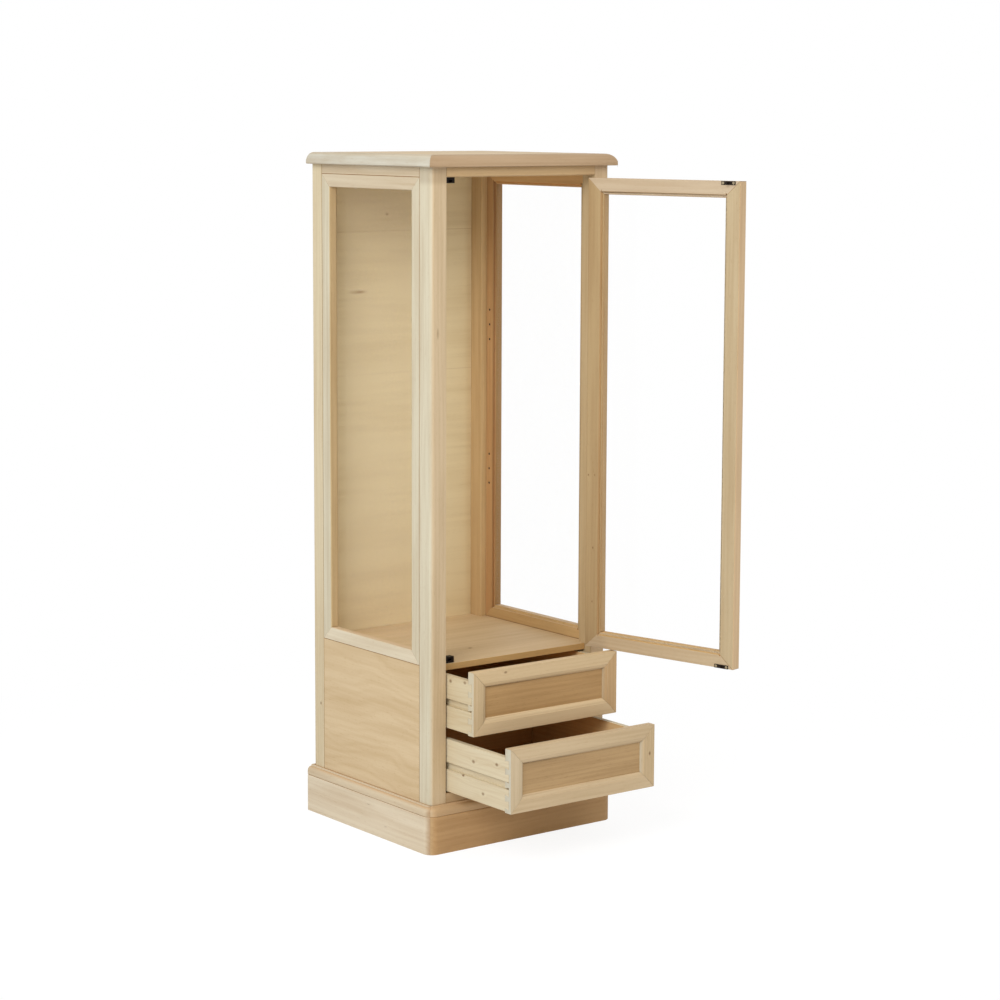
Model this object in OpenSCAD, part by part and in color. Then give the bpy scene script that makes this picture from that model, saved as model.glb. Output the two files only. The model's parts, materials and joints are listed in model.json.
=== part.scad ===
// Pedestal display case in raw beech and fir: a glazed case with one framed glass door, two drawers
// below it with mitred fronts and dovetailed sides, and a moulded plinth.
// Millimetres. X right, Y to the back, Z up. The origin is on the floor, in the middle of the case.
// The pieces are drawn closed, then the door is turned and the drawers are pulled to how they rest.

/* [Case] */
// Width over the corner posts
case_w = 450; // [400:1:520]
// Depth over the corner posts
case_d = 426; // [380:1:500]
// Height from the floor to the top of the top board
case_h = 1400; // [1250:1:1600]

/* [Top] */
// Thickness of the top board
top_t = 24; // [20:1:34]
// How far the top board stands out at the front and the sides
top_over = 13; // [6:0.5:24]
// Width of the mitred edging round the top board
top_edge_w = 45; // [34:1:70]
// Radius of the large round on the top board's edge
top_round_r = 20; // [8:0.5:19.5]
// Radius of the small round under the top board's edge
top_tip_r = 2.5; // [0.5:0.5:4]

/* [Base] */
// Height of the plinth boards
plinth_h = 78; // [50:1:120]
// Thickness of the plinth boards
plinth_t = 18; // [14:1:24]
// Height of the base moulding on the plinth
moulding_h = 21; // [18:1:32]
// Width of the boards that the base moulding is made from
moulding_w = 62; // [56:1:90]
// How far the base stands out at the front and the sides
base_over = 13.5; // [12:0.5:24]
// How far the base stands out at the back
base_back = 5; // [0:0.5:12]
// Radius of the base's two front corners, in plan
base_corner_r = 22; // [18:1:34]
// Height of the small step at the top of the base moulding
moulding_step_h = 3; // [1:0.5:5]
// Radius of the base moulding's round
moulding_round_r = 9.5; // [5:0.5:11]
// Depth of each half of the V groove between moulding and plinth
groove_v = 1.5; // [0.5:0.25:2.5]
// Side of the glue blocks inside the plinth's corners
block_w = 36; // [24:1:50]

/* [Carcass] */
// Width of a corner post, seen from the front
post_w = 37; // [30:1:48]
// Depth of a corner post, seen from the side
post_d = 40; // [34:1:54]
// Radius of a post's outer arris
post_r = 8; // [2:0.5:14]
// Thickness of rails, side frames, side panels and door
frame_t = 22; // [18:1:28]
// Height of the rails under the top board
top_rail_h = 19.5; // [14:0.5:30]
// Height of the rail between the plinth and the lower drawer
bottom_rail_h = 20; // [14:0.5:34]
// Bevel on the lower edge of the front rail under the top
rail_bevel = 2.5; // [1:0.5:5]
// Thickness of the deck that the display space stands on
deck_t = 13; // [9:1:19]
// Height of the deck's top above the floor
deck_z = 379.8; // [360:0.1:420]
// Gap between the closed door's inner face and the deck's front edge
deck_setback = 0.6; // [0.3:0.1:4]
// Thickness of the back panel
back_t = 4; // [3:0.5:8]
// Width of the rebate that the back panel sits in
back_rebate_w = 10; // [6:1:16]

/* [Glazed frames] */
// Width of a side frame's stiles, over the rebate's lip
side_stile_w = 28; // [24:0.5:42]
// Width of a side frame's rails, over the rebate's lip
side_rail_w = 27; // [24:0.5:42]
// Width of the rebate that a pane sits in
rebate_w = 5.5; // [4:0.5:8]
// Depth of the rebate, from the frame's inner face
rebate_d = 5; // [4:0.5:8]
// Width of the slots where the stiles' rebates run past the corners
overrun_w = 2; // [1:0.5:3]
// How far these slots reach into the rails
overrun_l = 3; // [1:0.5:5]
// Bevel on a frame's outer sight edge
sight_bevel = 1.8; // [0.5:0.1:3]
// Thickness of a glass pane
glass_t = 3; // [2:0.5:3.5]
// Gap between a pane's edge and its rebate
glass_gap = 1; // [0.5:0.25:2]
// Radius of a shelf pin hole
pin_hole_r = 2.5; // [2:0.25:3.5]
// Depth of a shelf pin hole
pin_hole_d = 9; // [6:0.5:12]
// Distance between two holes of a group
pin_pitch = 32; // [25:1:40]
// Height of the middle of the lower group of holes above the deck
pin_group_z = 329.5; // [250:0.5:400]
// Distance between the groups of holes
pin_group_gap = 316; // [200:1:400]

/* [Door] */
// Width of the door's stiles
door_stile_w = 37.5; // [30:0.5:50]
// Width of the door's rails
door_rail_w = 33; // [28:0.5:50]
// Gap beside the closed door, left and right
door_gap = 1.5; // [1:0.1:3]
// Gap under the closed door
door_gap_bottom = 1.4; // [1:0.1:3]
// Gap over the closed door
door_gap_top = 4.8; // [1.5:0.1:8]
// How far the hinge pins stand in front of the door's face
pin_proud = 4; // [3.9:0.1:7]
// Angle that the door stands open
door_angle = 103; // [0:0.25:170]

/* [Hinges and catches] */
// Height of a hinge
hinge_h = 50; // [40:1:70]
// Distance from the door's ends to the middle of a hinge
hinge_inset = 120; // [60:1:200]
// Width of a hinge leaf in its mortise
leaf_w = 18; // [14:0.5:21]
// Thickness of a hinge leaf
leaf_t = 1.5; // [1:0.1:2]
// Radius of a hinge's knuckles
knuckle_r = 3.6; // [3:0.1:3.8]
// Radius of a hinge pin
hinge_pin_r = 1.95; // [1.5:0.05:2.2]
// Width of a catch
catch_w = 25; // [20:0.5:34]
// Height of a catch
catch_h = 12.5; // [10:0.5:16]
// Depth of a catch, front to back
catch_d = 14; // [10:0.5:18]
// Distance from the post to the near end of a catch
catch_inset = 14.5; // [6:0.5:40]
// Width of a strike plate
strike_w = 33; // [24:0.5:40]
// Height of a strike plate
strike_h = 7.4; // [6:0.1:10]
// Thickness of a strike plate
strike_t = 1.5; // [1:0.1:2]
// Length of a strike's tongue, from the door's face
tongue_l = 11; // [9:0.5:13]

/* [Drawers] */
// Height of a drawer front
front_h = 129.5; // [110:0.5:150]
// Gap round a drawer front, up and down
front_gap = 1.5; // [0.8:0.1:3]
// Gap between a drawer and the posts, left and right
drawer_side_gap = 3.5; // [2:0.1:6]
// Thickness of a drawer front
front_t = 18.5; // [16:0.5:24]
// Width of a drawer front's mitred members
front_member_w = 34; // [28:0.5:42]
// Width of the round on a member's inner edge, which runs down to the panel
front_round_w = 9.5; // [6:0.5:12]
// Depth of the small step beside this round
front_quirk = 0.8; // [0.4:0.1:1.5]
// Width of the glue lines in a drawer front's mitres
mitre_line = 0.1; // [0.05:0.05:0.3]
// How deep the panel lies behind the front's face
panel_sink = 7; // [5:0.5:8]
// How far the panel reaches behind the members
panel_lap = 7; // [4:0.5:12]
// Thickness of a drawer's sides and back
side_t = 12; // [9:0.5:16]
// Height of a drawer's sides
side_h = 108; // [90:1:112]
// How far a side's lower edge lies above the front's lower edge
side_lift = 2.8; // [1:0.1:8]
// Length of a drawer, front to back
drawer_l = 393; // [300:1:400]
// Thickness of a drawer's bottom
bottom_t = 4; // [3:0.5:8]
// Height of a drawer's bottom above its sides' lower edges
bottom_lift = 10; // [7:0.5:16]
// Depth of the grooves that hold a drawer's bottom
bottom_groove = 5; // [3:0.5:7]
// Length of the dovetails
tail_l = 12; // [8:0.5:14]
// Number of dovetails on a side
tail_count = 4; // [4:2:6]
// How much a dovetail widens on each side towards its end
tail_flare = 2; // [1:0.25:3]
// Height of the groove in a drawer's side that takes the runner
runner_groove_h = 15; // [12:0.5:18]
// Depth of the runner groove
runner_groove_d = 7; // [5:0.5:8]
// Distance that the upper drawer stands pulled out
upper_pull = 88; // [0:1:300]
// Distance that the lower drawer stands pulled out
lower_pull = 210; // [0:1:300]

/* [Fixings] */
// Radius of a screw's shank
screw_r = 1.5; // [1:0.1:2]
// Radius of a screw's countersunk head
screw_head_r = 2.9; // [2.2:0.1:3.2]
// Length of a hinge or strike screw
screw_l = 12; // [8:1:16]
// Length of a runner screw
runner_screw_l = 22; // [18:1:30]
// Length of a back panel screw
back_screw_l = 16; // [10:1:25]

/* [Hidden] */
$fn = 72;

half_w = case_w / 2;
half_d = case_d / 2;
face_y = -half_d;
inner_x = half_w - post_w;
frame_in_x = half_w - frame_t;
seam_y = half_d - post_d;

base_z = plinth_h + moulding_h;
case_top_z = case_h - top_t;
rail_z = case_top_z - top_rail_h;
bottom_rail_z = base_z + bottom_rail_h;
past = 1;

base_x = half_w + base_over;
base_front_y = half_d + base_over;
base_rear_y = half_d + base_back;

back_y = half_d - back_t;
back_x = inner_x + back_rebate_w;
back_gap = 0.5;

lower_z = bottom_rail_z + front_gap;
upper_z = lower_z + front_h + front_gap;
door_z = upper_z + front_h + door_gap_bottom;
door_w = 2 * (inner_x - door_gap);
door_h = rail_z - door_gap_top - door_z;
door_in_y = face_y + frame_t;

side_frame_z = deck_z + 0.7;
side_frame_h = rail_z - side_frame_z;
side_frame_w = 2 * seam_y;

pin_x = inner_x - door_gap / 2;
pin_y = face_y - pin_proud;
hinge_zs = [door_z + hinge_inset, door_z + door_h - hinge_inset];
leaf_play = 0.1;
knuckles = 5;
knuckle_h = hinge_h / knuckles;
knuckle_play = 0.3;
pin_play = 0.05;

bearer_w = frame_in_x - inner_x;
bearer_h = 20;

drawer_half_w = inner_x - drawer_side_gap;
side_front_y = face_y + front_t;
runner_play = 0.5;
runner_h = runner_groove_h - 2 * runner_play;
runner_tip_x = drawer_half_w - runner_groove_d + runner_play;
runner_front_y = side_front_y + 4;
runner_rear_y = seam_y + 17;
groove_z = side_lift + side_h / 2 - 1.4;
panel_t = front_t - panel_sink;
back_drop = 8;

catch_x = -inner_x + catch_inset;
catch_y = door_in_y + strike_t + 3.5;
strike_x = catch_x + catch_w / 2 + 2;
tongue_w = 5;
tongue_h = 2.4;
slot_play = 2;
strike_zs = [door_z + strike_h / 2, door_z + door_h - strike_h / 2];
catch_zs = [deck_z, rail_z - catch_h];

hole_play = 0.1;

// ---------------------------------------------------------------- shapes that repeat

// A block between two opposite corners.
module block(low, high) {
    translate(low) cube(high - low);
}

// An outline in X and Z, given thickness t from y = 0 towards +Y.
module slab(points, t) {
    translate([0, t, 0]) rotate([90, 0, 0]) linear_extrude(t) polygon(points);
}

// Both halves of a pair: the child and its mirror image in the plane x = 0.
module mirrored_pair() {
    children();
    mirror([1, 0, 0]) children();
}

// One member of a mitred frame w wide and h high. The outer face lies at y = 0.
// The mitres run from the frame's corners to the corners of its sight opening.
module mitred_member(side, w, h, t, stile, rail) {
    outline = side == "left" ? [[0, 0], [stile, rail], [stile, h - rail], [0, h]]
        : side == "right" ? [[w, 0], [w, h], [w - stile, h - rail], [w - stile, rail]]
        : side == "bottom" ? [[0, 0], [w, 0], [w - stile, rail], [stile, rail]]
        : [[0, h], [stile, h - rail], [w - stile, h - rail], [w, h]];
    slab(outline, t);
}

// A member with the rebate for its pane on the inner face and a bevelled sight edge outside.
// The stiles' rebates run a little past the corners, into the rails.
module glazed_member(side, w, h, t, stile, rail) {
    cut = sight_bevel + past;
    bevel = [[-past, -past], [cut, -past], [-past, cut]];
    difference() {
        mitred_member(side, w, h, t, stile, rail);
        block([stile - rebate_w, t - rebate_d, rail - rebate_w],
              [w - stile + rebate_w, t + past, h - rail + rebate_w]);
        for (x = [stile - rebate_w, w - stile + rebate_w - overrun_w])
            block([x, t - rebate_d, rail - rebate_w - overrun_l],
                  [x + overrun_w, t + past, h - rail + rebate_w + overrun_l]);
        if (side == "left")
            translate([stile, 0, 0]) mirror([1, 0, 0]) linear_extrude(h) polygon(bevel);
        if (side == "right")
            translate([w - stile, 0, 0]) linear_extrude(h) polygon(bevel);
        if (side == "bottom")
            translate([0, 0, rail]) rotate([90, 0, 90]) mirror([0, 1, 0]) linear_extrude(w) polygon(bevel);
        if (side == "top")
            translate([0, 0, h - rail]) rotate([90, 0, 90]) linear_extrude(w) polygon(bevel);
    }
}

// A pane that lies against the lip of such a frame's rebate.
module pane(w, h, t, stile, rail) {
    inset_x = stile - rebate_w + glass_gap;
    inset_z = rail - rebate_w + glass_gap;
    block([inset_x, t - rebate_d, inset_z], [w - inset_x, t - rebate_d + glass_t, h - inset_z]);
}

// Places a frame drawn at the front on the left or the right side of the case.
// On the left x runs to the front, on the right it runs to the back.
module on_side(right) {
    if (right)
        translate([half_w, -seam_y, side_frame_z]) rotate([0, 0, 90]) children();
    else
        translate([-half_w, seam_y, side_frame_z]) rotate([0, 0, -90]) children();
}

// A screw with a countersunk head. Its head lies at the origin and it points along -Z.
// With play it is the hole for that screw.
module screw(length, play = 0) {
    head_h = screw_head_r - screw_r;
    translate([0, 0, -length - play]) cylinder(r = screw_r + play, h = length + play);
    translate([0, 0, -head_h]) cylinder(r1 = screw_r + play, r2 = screw_head_r + play, h = head_h);
}

// ---------------------------------------------------------------- top board

// Section of the top board's edge: x runs inward from the tip, y runs up.
module top_edge_section() {
    difference() {
        square([top_edge_w, top_t]);
        difference() {
            translate([-past, top_t - top_round_r]) square([top_round_r + past, top_round_r + past]);
            translate([top_round_r, top_t - top_round_r]) circle(r = top_round_r);
        }
        difference() {
            translate([-past, -past]) square([top_tip_r + past, top_tip_r + past]);
            translate([top_tip_r, top_tip_r]) circle(r = top_tip_r);
        }
    }
}

module top_edge_run(length) {
    rotate([90, 0, 90]) linear_extrude(length) top_edge_section();
}

module top_panel() {
    color("#d3be95")
    block([-half_w - top_over + top_edge_w, face_y - top_over + top_edge_w, case_top_z],
          [half_w + top_over - top_edge_w, half_d, case_h]);
}

module top_edge_front() {
    tip_x = half_w + top_over;
    color("#c8a67c")
    intersection() {
        translate([-tip_x, face_y - top_over, case_top_z]) top_edge_run(2 * tip_x);
        translate([0, face_y - top_over, case_top_z - past]) linear_extrude(top_t + 2 * past)
            polygon([[-tip_x, 0], [tip_x, 0], [tip_x - top_edge_w, top_edge_w], [top_edge_w - tip_x, top_edge_w]]);
    }
}

module top_edge_side() {
    tip_x = half_w + top_over;
    tip_y = face_y - top_over;
    intersection() {
        translate([-tip_x, half_d, case_top_z]) rotate([0, 0, -90]) top_edge_run(half_d - tip_y);
        translate([0, 0, case_top_z - past]) linear_extrude(top_t + 2 * past)
            polygon([[-tip_x, tip_y], [top_edge_w - tip_x, tip_y + top_edge_w],
                     [top_edge_w - tip_x, half_d], [-tip_x, half_d]]);
    }
}

module top_edge_left() {
    color("#dacfba") top_edge_side();
}

module top_edge_right() {
    color("#dacfba") mirror([1, 0, 0]) top_edge_side();
}

// ---------------------------------------------------------------- base

// Plan of the base: straight behind, rounded at the two front corners.
module base_plan() {
    difference() {
        translate([-base_x, -base_front_y]) square([2 * base_x, base_front_y + base_rear_y]);
        mirrored_pair()
            difference() {
                translate([base_x - base_corner_r, -base_front_y - past])
                    square([base_corner_r + past, base_corner_r + past]);
                translate([base_x - base_corner_r, base_corner_r - base_front_y]) circle(r = base_corner_r);
            }
    }
}

// Sweeps a section round the front and the sides of the base, to be cut away.
// In the section x runs outward from the radius of the corners.
module round_the_base() {
    corner_x = base_x - base_corner_r;
    corner_y = base_corner_r - base_front_y;
    mirrored_pair() {
        translate([corner_x, corner_y, 0]) rotate_extrude(angle = -90) children();
        translate([corner_x, base_rear_y + past, 0]) rotate([90, 0, 0])
            linear_extrude(base_rear_y + past - corner_y) children();
    }
    translate([-corner_x, corner_y, 0]) rotate([90, 0, -90]) mirror([0, 0, 1])
        linear_extrude(2 * corner_x) children();
}

// What is cut off the base moulding's edge: a step, a quarter round and half of the V groove.
module moulding_waste() {
    edge = base_corner_r;
    round_top = base_z - moulding_step_h;
    difference() {
        translate([edge - moulding_round_r, round_top - moulding_round_r])
            square([moulding_round_r + past, moulding_round_r + moulding_step_h + past]);
        translate([edge - moulding_round_r, round_top - moulding_round_r]) circle(r = moulding_round_r);
    }
    polygon([[edge - groove_v, plinth_h - past], [edge + past, plinth_h - past],
             [edge + past, plinth_h + groove_v + past], [edge, plinth_h + groove_v],
             [edge - groove_v, plinth_h]]);
}

// What is cut off the plinth's upper edge: the other half of the V groove.
module plinth_waste() {
    edge = base_corner_r;
    polygon([[edge - groove_v, plinth_h], [edge, plinth_h - groove_v], [edge + past, plinth_h - groove_v - past],
             [edge + past, plinth_h + past], [edge - groove_v, plinth_h + past]]);
}

// The part of the plan that belongs to the front board, between the mitres, and to the left board.
module front_share(depth) {
    polygon([[-base_x, -base_front_y], [base_x, -base_front_y],
             [base_x - depth, depth - base_front_y], [depth - base_x, depth - base_front_y]]);
}

module left_share(depth) {
    polygon([[-base_x, -base_front_y], [depth - base_x, depth - base_front_y],
             [depth - base_x, base_rear_y], [-base_x, base_rear_y]]);
}

module moulding_board() {
    difference() {
        translate([0, 0, plinth_h]) linear_extrude(moulding_h) intersection() {
            base_plan();
            children();
        }
        round_the_base() moulding_waste();
    }
}

module base_moulding_front() {
    color("#c4a37c") moulding_board() front_share(moulding_w);
}

module base_moulding_left() {
    color("#d8c6a6") moulding_board() left_share(moulding_w);
}

module base_moulding_right() {
    color("#d8c6a6") mirror([1, 0, 0]) moulding_board() left_share(moulding_w);
}

module plinth_board() {
    difference() {
        linear_extrude(plinth_h) intersection() {
            base_plan();
            children();
        }
        round_the_base() plinth_waste();
    }
}

module plinth_front() {
    color("#b8946a") plinth_board() front_share(plinth_t);
}

module plinth_left() {
    color("#dac8aa") plinth_board() left_share(plinth_t);
}

module plinth_right() {
    color("#dac8aa") mirror([1, 0, 0]) plinth_board() left_share(plinth_t);
}

module plinth_back() {
    color("#c4a37c")
    block([plinth_t - base_x, base_rear_y - plinth_t, 0], [base_x - plinth_t, base_rear_y, plinth_h]);
}

module plinth_blocks() {
    low_y = plinth_t - base_front_y;
    high_y = base_rear_y - plinth_t;
    x = base_x - plinth_t;
    color("#cdb48a")
    mirrored_pair()
        linear_extrude(plinth_h) {
            polygon([[x, low_y], [x, low_y + block_w], [x - block_w, low_y]]);
            polygon([[x, high_y], [x - block_w, high_y], [x, high_y - block_w]]);
        }
}

// ---------------------------------------------------------------- carcass

// Plan of a post at the right front, with its outer arris rounded.
module post_plan() {
    difference() {
        translate([inner_x, face_y]) square([post_w, post_d]);
        difference() {
            translate([half_w - post_r, face_y - past]) square([post_r + past, post_r + past]);
            translate([half_w - post_r, face_y + post_r]) circle(r = post_r);
        }
    }
}

module post_front_left() {
    color("#d2bd99")
    mirror([1, 0, 0]) difference() {
        translate([0, 0, base_z]) linear_extrude(case_top_z - base_z) post_plan();
        runner_screws(hole_play);
    }
}

module post_front_right() {
    color("#c9ae85")
    difference() {
        translate([0, 0, base_z]) linear_extrude(case_top_z - base_z) post_plan();
        for (z = hinge_zs) {
            block([inner_x - past, face_y - past, z - hinge_h / 2],
                  [pin_x + leaf_play + leaf_t, face_y + leaf_w, z + hinge_h / 2]);
        }
        case_leaf_screws(hole_play);
        runner_screws(hole_play);
    }
}

module rear_post() {
    difference() {
        translate([0, 0, base_z]) linear_extrude(case_top_z - base_z) mirror([0, 1, 0]) post_plan();
        block([inner_x - past, back_y, base_z - past], [back_x, half_d + past, case_top_z + past]);
        back_screws(hole_play);
        runner_screws(hole_play);
    }
}

module post_rear_left() {
    color("#d6c19c") mirror([1, 0, 0]) rear_post();
}

module post_rear_right() {
    color("#b58d5c") rear_post();
}

module front_top_rail() {
    depth = post_d;
    color("#c2a077")
    difference() {
        block([-inner_x, face_y, rail_z], [inner_x, face_y + depth, case_top_z]);
        translate([-inner_x - past, face_y, rail_z]) rotate([90, 0, 90]) linear_extrude(2 * inner_x + 2 * past)
            polygon([[-past, -past], [rail_bevel, -past], [rail_bevel, 0], [0, rail_bevel],
                     [-past, rail_bevel]]);
        catch_screws(hole_play);
    }
}

module front_bottom_rail() {
    color("#c4a37a") block([-inner_x, face_y, base_z], [inner_x, face_y + frame_t, bottom_rail_z]);
}

module side_top_rails() {
    color("#dccaa6")
    mirrored_pair() block([frame_in_x, -seam_y, rail_z], [half_w, seam_y, case_top_z]);
}

module back_rails() {
    color("#c9ad82")
    for (z = [base_z, rail_z]) {
        h = z == base_z ? bottom_rail_h : top_rail_h;
        block([-inner_x, back_y - frame_t, z], [inner_x, back_y, z + h]);
    }
}

module side_frame_piece(right, side) {
    on_side(right)
        glazed_member(side, side_frame_w, side_frame_h, frame_t, side_stile_w, side_rail_w);
}

// The blind holes for shelf pins, in the inner face of all four stiles.
module shelf_pin_holes() {
    y = seam_y - (side_stile_w - rebate_w) / 2;
    for (x = [-1, 1], side = [-1, 1], group = [0, 1], step = [-1, 0, 1])
        translate([x * frame_in_x, side * y, deck_z + pin_group_z + group * pin_group_gap + step * pin_pitch])
            rotate([0, x * 90, 0]) translate([0, 0, -past]) cylinder(r = pin_hole_r, h = pin_hole_d + past);
}

module side_stile(right, front) {
    difference() {
        side_frame_piece(right, right == front ? "left" : "right");
        shelf_pin_holes();
    }
}

module left_frame_front_stile() {
    color("#dccbaa") side_stile(false, true);
}

module left_frame_rear_stile() {
    color("#dccbaa") side_stile(false, false);
}

module left_frame_top_rail() {
    color("#dfcfac") side_frame_piece(false, "top");
}

module left_frame_bottom_rail() {
    color("#dfcfac") side_frame_piece(false, "bottom");
}

module right_frame_front_stile() {
    color("#a77a4a") side_stile(true, true);
}

module right_frame_rear_stile() {
    color("#a77a4a") side_stile(true, false);
}

module right_frame_top_rail() {
    color("#a77a4a") side_frame_piece(true, "top");
}

module right_frame_bottom_rail() {
    color("#b58d5c") side_frame_piece(true, "bottom");
}

module side_pane(right) {
    color([0.85, 0.93, 0.92, 0.25])
    on_side(right) pane(side_frame_w, side_frame_h, frame_t, side_stile_w, side_rail_w);
}

module left_glass() {
    side_pane(false);
}

module right_glass() {
    side_pane(true);
}

module side_panel() {
    block([frame_in_x, -seam_y, base_z], [half_w, seam_y, side_frame_z]);
}

module side_panel_left() {
    color("#d0b483") mirror([1, 0, 0]) side_panel();
}

module side_panel_right() {
    color("#d0b483") side_panel();
}

module back_panel() {
    x = back_x - back_gap;
    color("#c3a272")
    difference() {
        block([-x, back_y, base_z], [x, half_d, case_top_z]);
        mirrored_pair() back_screws(hole_play);
    }
}

module deck() {
    color("#c9ac7c")
    difference() {
        union() {
            block([-inner_x, door_in_y - deck_setback, deck_z - deck_t], [inner_x, back_y, deck_z]);
            block([-frame_in_x, -seam_y, deck_z - deck_t], [frame_in_x, seam_y, deck_z]);
        }
        catch_screws(hole_play);
    }
}

module deck_bearers() {
    color("#dcc796")
    mirrored_pair()
        block([inner_x, -seam_y, deck_z - deck_t - bearer_h], [inner_x + bearer_w, seam_y, deck_z - deck_t]);
}

module runner(z) {
    difference() {
        block([runner_tip_x, runner_front_y, z + groove_z - runner_h / 2],
              [inner_x, runner_rear_y, z + groove_z + runner_h / 2]);
        runner_screws(hole_play);
    }
}

module drawer_runners() {
    color("#8a6238")
    mirrored_pair() {
        runner(lower_z);
        runner(upper_z);
    }
}

// ---------------------------------------------------------------- fixings of the case

module runner_screws(play = 0) {
    for (z = [lower_z, upper_z], y = [-seam_y - 8, seam_y + 8])
        translate([runner_tip_x, y, z + groove_z]) rotate([0, -90, 0]) screw(runner_screw_l, play);
}

// The hinge screws stand in a row along each leaf.
module leaf_screw_row(length, play) {
    for (z = hinge_zs, step = [-1, 0, 1])
        translate([0, face_y + leaf_w * 0.6, z + step * hinge_h * 0.34]) screw_along_x(length, play);
}

module screw_along_x(length, play) {
    rotate([0, -90, 0]) screw(length, play);
}

module case_leaf_screws(play = 0) {
    translate([pin_x + leaf_play, 0, 0]) leaf_screw_row(screw_l, play);
}

module catch_screws(play = 0) {
    x = catch_x + 4.5;
    y = catch_y + catch_d / 2;
    translate([x, y, deck_z + catch_h]) screw(catch_h + 9, play);
    translate([x, y, rail_z - catch_h]) mirror([0, 0, 1]) screw(catch_h + 9, play);
}

module back_screws(play = 0) {
    rise = (case_top_z - base_z) / 4;
    for (step = [0.25, 1.4, 2.6, 3.75])
        translate([inner_x + back_rebate_w / 2, half_d, base_z + step * rise]) rotate([-90, 0, 0])
            screw(back_screw_l, play);
}

module case_screws() {
    color("#6b5a3c") {
        mirrored_pair() {
            runner_screws();
            back_screws();
        }
        case_leaf_screws();
        catch_screws();
    }
}

// ---------------------------------------------------------------- catches

// A catch is a closed housing with a slot at the front for the strike's tongue.
module catch_housing(z, slot_z) {
    difference() {
        block([catch_x, catch_y, z], [catch_x + catch_w, catch_y + catch_d, z + catch_h]);
        block([strike_x - tongue_w / 2 - slot_play, catch_y - past, slot_z - tongue_h / 2 - slot_play / 2],
              [strike_x + tongue_w / 2 + slot_play, door_in_y + tongue_l + slot_play,
               slot_z + tongue_h / 2 + slot_play / 2]);
        catch_screws(hole_play);
    }
}

module catches() {
    color("#2a2320")
    for (i = [0, 1]) catch_housing(catch_zs[i], strike_zs[i]);
}

// A strike is a plate on the door's inner face with a tongue that enters the catch.
module strike(z) {
    block([strike_x - strike_w / 2, door_in_y, z - strike_h / 2],
          [strike_x + strike_w / 2, door_in_y + strike_t, z + strike_h / 2]);
    block([strike_x - tongue_w / 2, door_in_y, z - tongue_h / 2],
          [strike_x + tongue_w / 2, door_in_y + tongue_l, z + tongue_h / 2]);
}

module strike_screws(play = 0) {
    for (z = strike_zs, side = [-1, 1])
        translate([strike_x + side * (strike_w / 2 - 4), door_in_y + strike_t, z]) rotate([-90, 0, 0])
            screw(screw_l, play);
}

// ---------------------------------------------------------------- hinges

// The knuckles with numbers in levels, bored for the pin, and the straps that join them to a leaf.
// toward is 1 for the leaf in the post and -1 for the leaf in the door.
module hinge_leaf(z, levels, toward) {
    low = z - hinge_h / 2;
    plate = [pin_x + toward * leaf_play, pin_x + toward * (leaf_play + leaf_t)];
    difference() {
        union() {
            block([min(plate), face_y, low], [max(plate), face_y + leaf_w, low + hinge_h]);
            for (level = levels) {
                from = low + level * knuckle_h + (level == 0 ? 0 : knuckle_play / 2);
                to = low + (level + 1) * knuckle_h - (level == knuckles - 1 ? 0 : knuckle_play / 2);
                translate([pin_x, pin_y, from]) cylinder(r = knuckle_r, h = to - from);
                block([min(plate), pin_y, from], [max(plate), face_y, to]);
            }
        }
        translate([pin_x, pin_y, low - past]) cylinder(r = hinge_pin_r + pin_play, h = hinge_h + 2 * past);
        if (toward > 0)
            case_leaf_screws(hole_play);
        else
            door_leaf_screws(hole_play);
    }
}

module hinge_case_leaves() {
    color("#a98f52") for (z = hinge_zs) hinge_leaf(z, [0, 2, 4], 1);
}

module hinge_pins() {
    color("#b49a5e")
    for (z = hinge_zs)
        translate([pin_x, pin_y, z - hinge_h / 2 - past]) {
            cylinder(r = hinge_pin_r, h = hinge_h + 2 * past);
            cylinder(r = knuckle_r * 0.8, h = past);
        }
}

module door_leaf_screws(play = 0) {
    translate([2 * pin_x, 0, 0]) mirror([1, 0, 0]) case_leaf_screws(play);
}

// ---------------------------------------------------------------- door

// Turns the closed door about its hinge pins to where it stands.
module door_swing() {
    translate([pin_x, pin_y, 0]) rotate([0, 0, door_angle]) translate([-pin_x, -pin_y, 0]) children();
}

module door_piece(side) {
    translate([-door_w / 2, face_y, door_z])
        glazed_member(side, door_w, door_h, frame_t, door_stile_w, door_rail_w);
}

module door_hinge_stile() {
    edge_x = door_w / 2;
    color("#bf9f74")
    door_swing() difference() {
        door_piece("right");
        for (z = hinge_zs) {
            block([pin_x - leaf_play - leaf_t, face_y - past, z - hinge_h / 2],
                  [edge_x + past, face_y + leaf_w, z + hinge_h / 2]);
        }
        door_leaf_screws(hole_play);
    }
}

module door_free_stile() {
    color("#c9b18d") door_swing() door_piece("left");
}

module door_rail(side) {
    difference() {
        door_piece(side);
        strike_screws(hole_play);
    }
}

module door_top_rail() {
    color("#cfb894") door_swing() door_rail("top");
}

module door_bottom_rail() {
    color("#c6aa82") door_swing() door_rail("bottom");
}

module door_glass() {
    color([0.85, 0.93, 0.92, 0.25])
    door_swing() translate([-door_w / 2, face_y, door_z])
        pane(door_w, door_h, frame_t, door_stile_w, door_rail_w);
}

module catch_strikes() {
    color("#2a2320")
    door_swing() difference() {
        for (z = strike_zs) strike(z);
        strike_screws(hole_play);
    }
}

module hinge_door_leaves() {
    color("#a98f52") door_swing() for (z = hinge_zs) hinge_leaf(z, [1, 3], -1);
}

module door_screws() {
    color("#6b5a3c")
    door_swing() {
        door_leaf_screws();
        strike_screws();
    }
}

// ---------------------------------------------------------------- drawers

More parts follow.
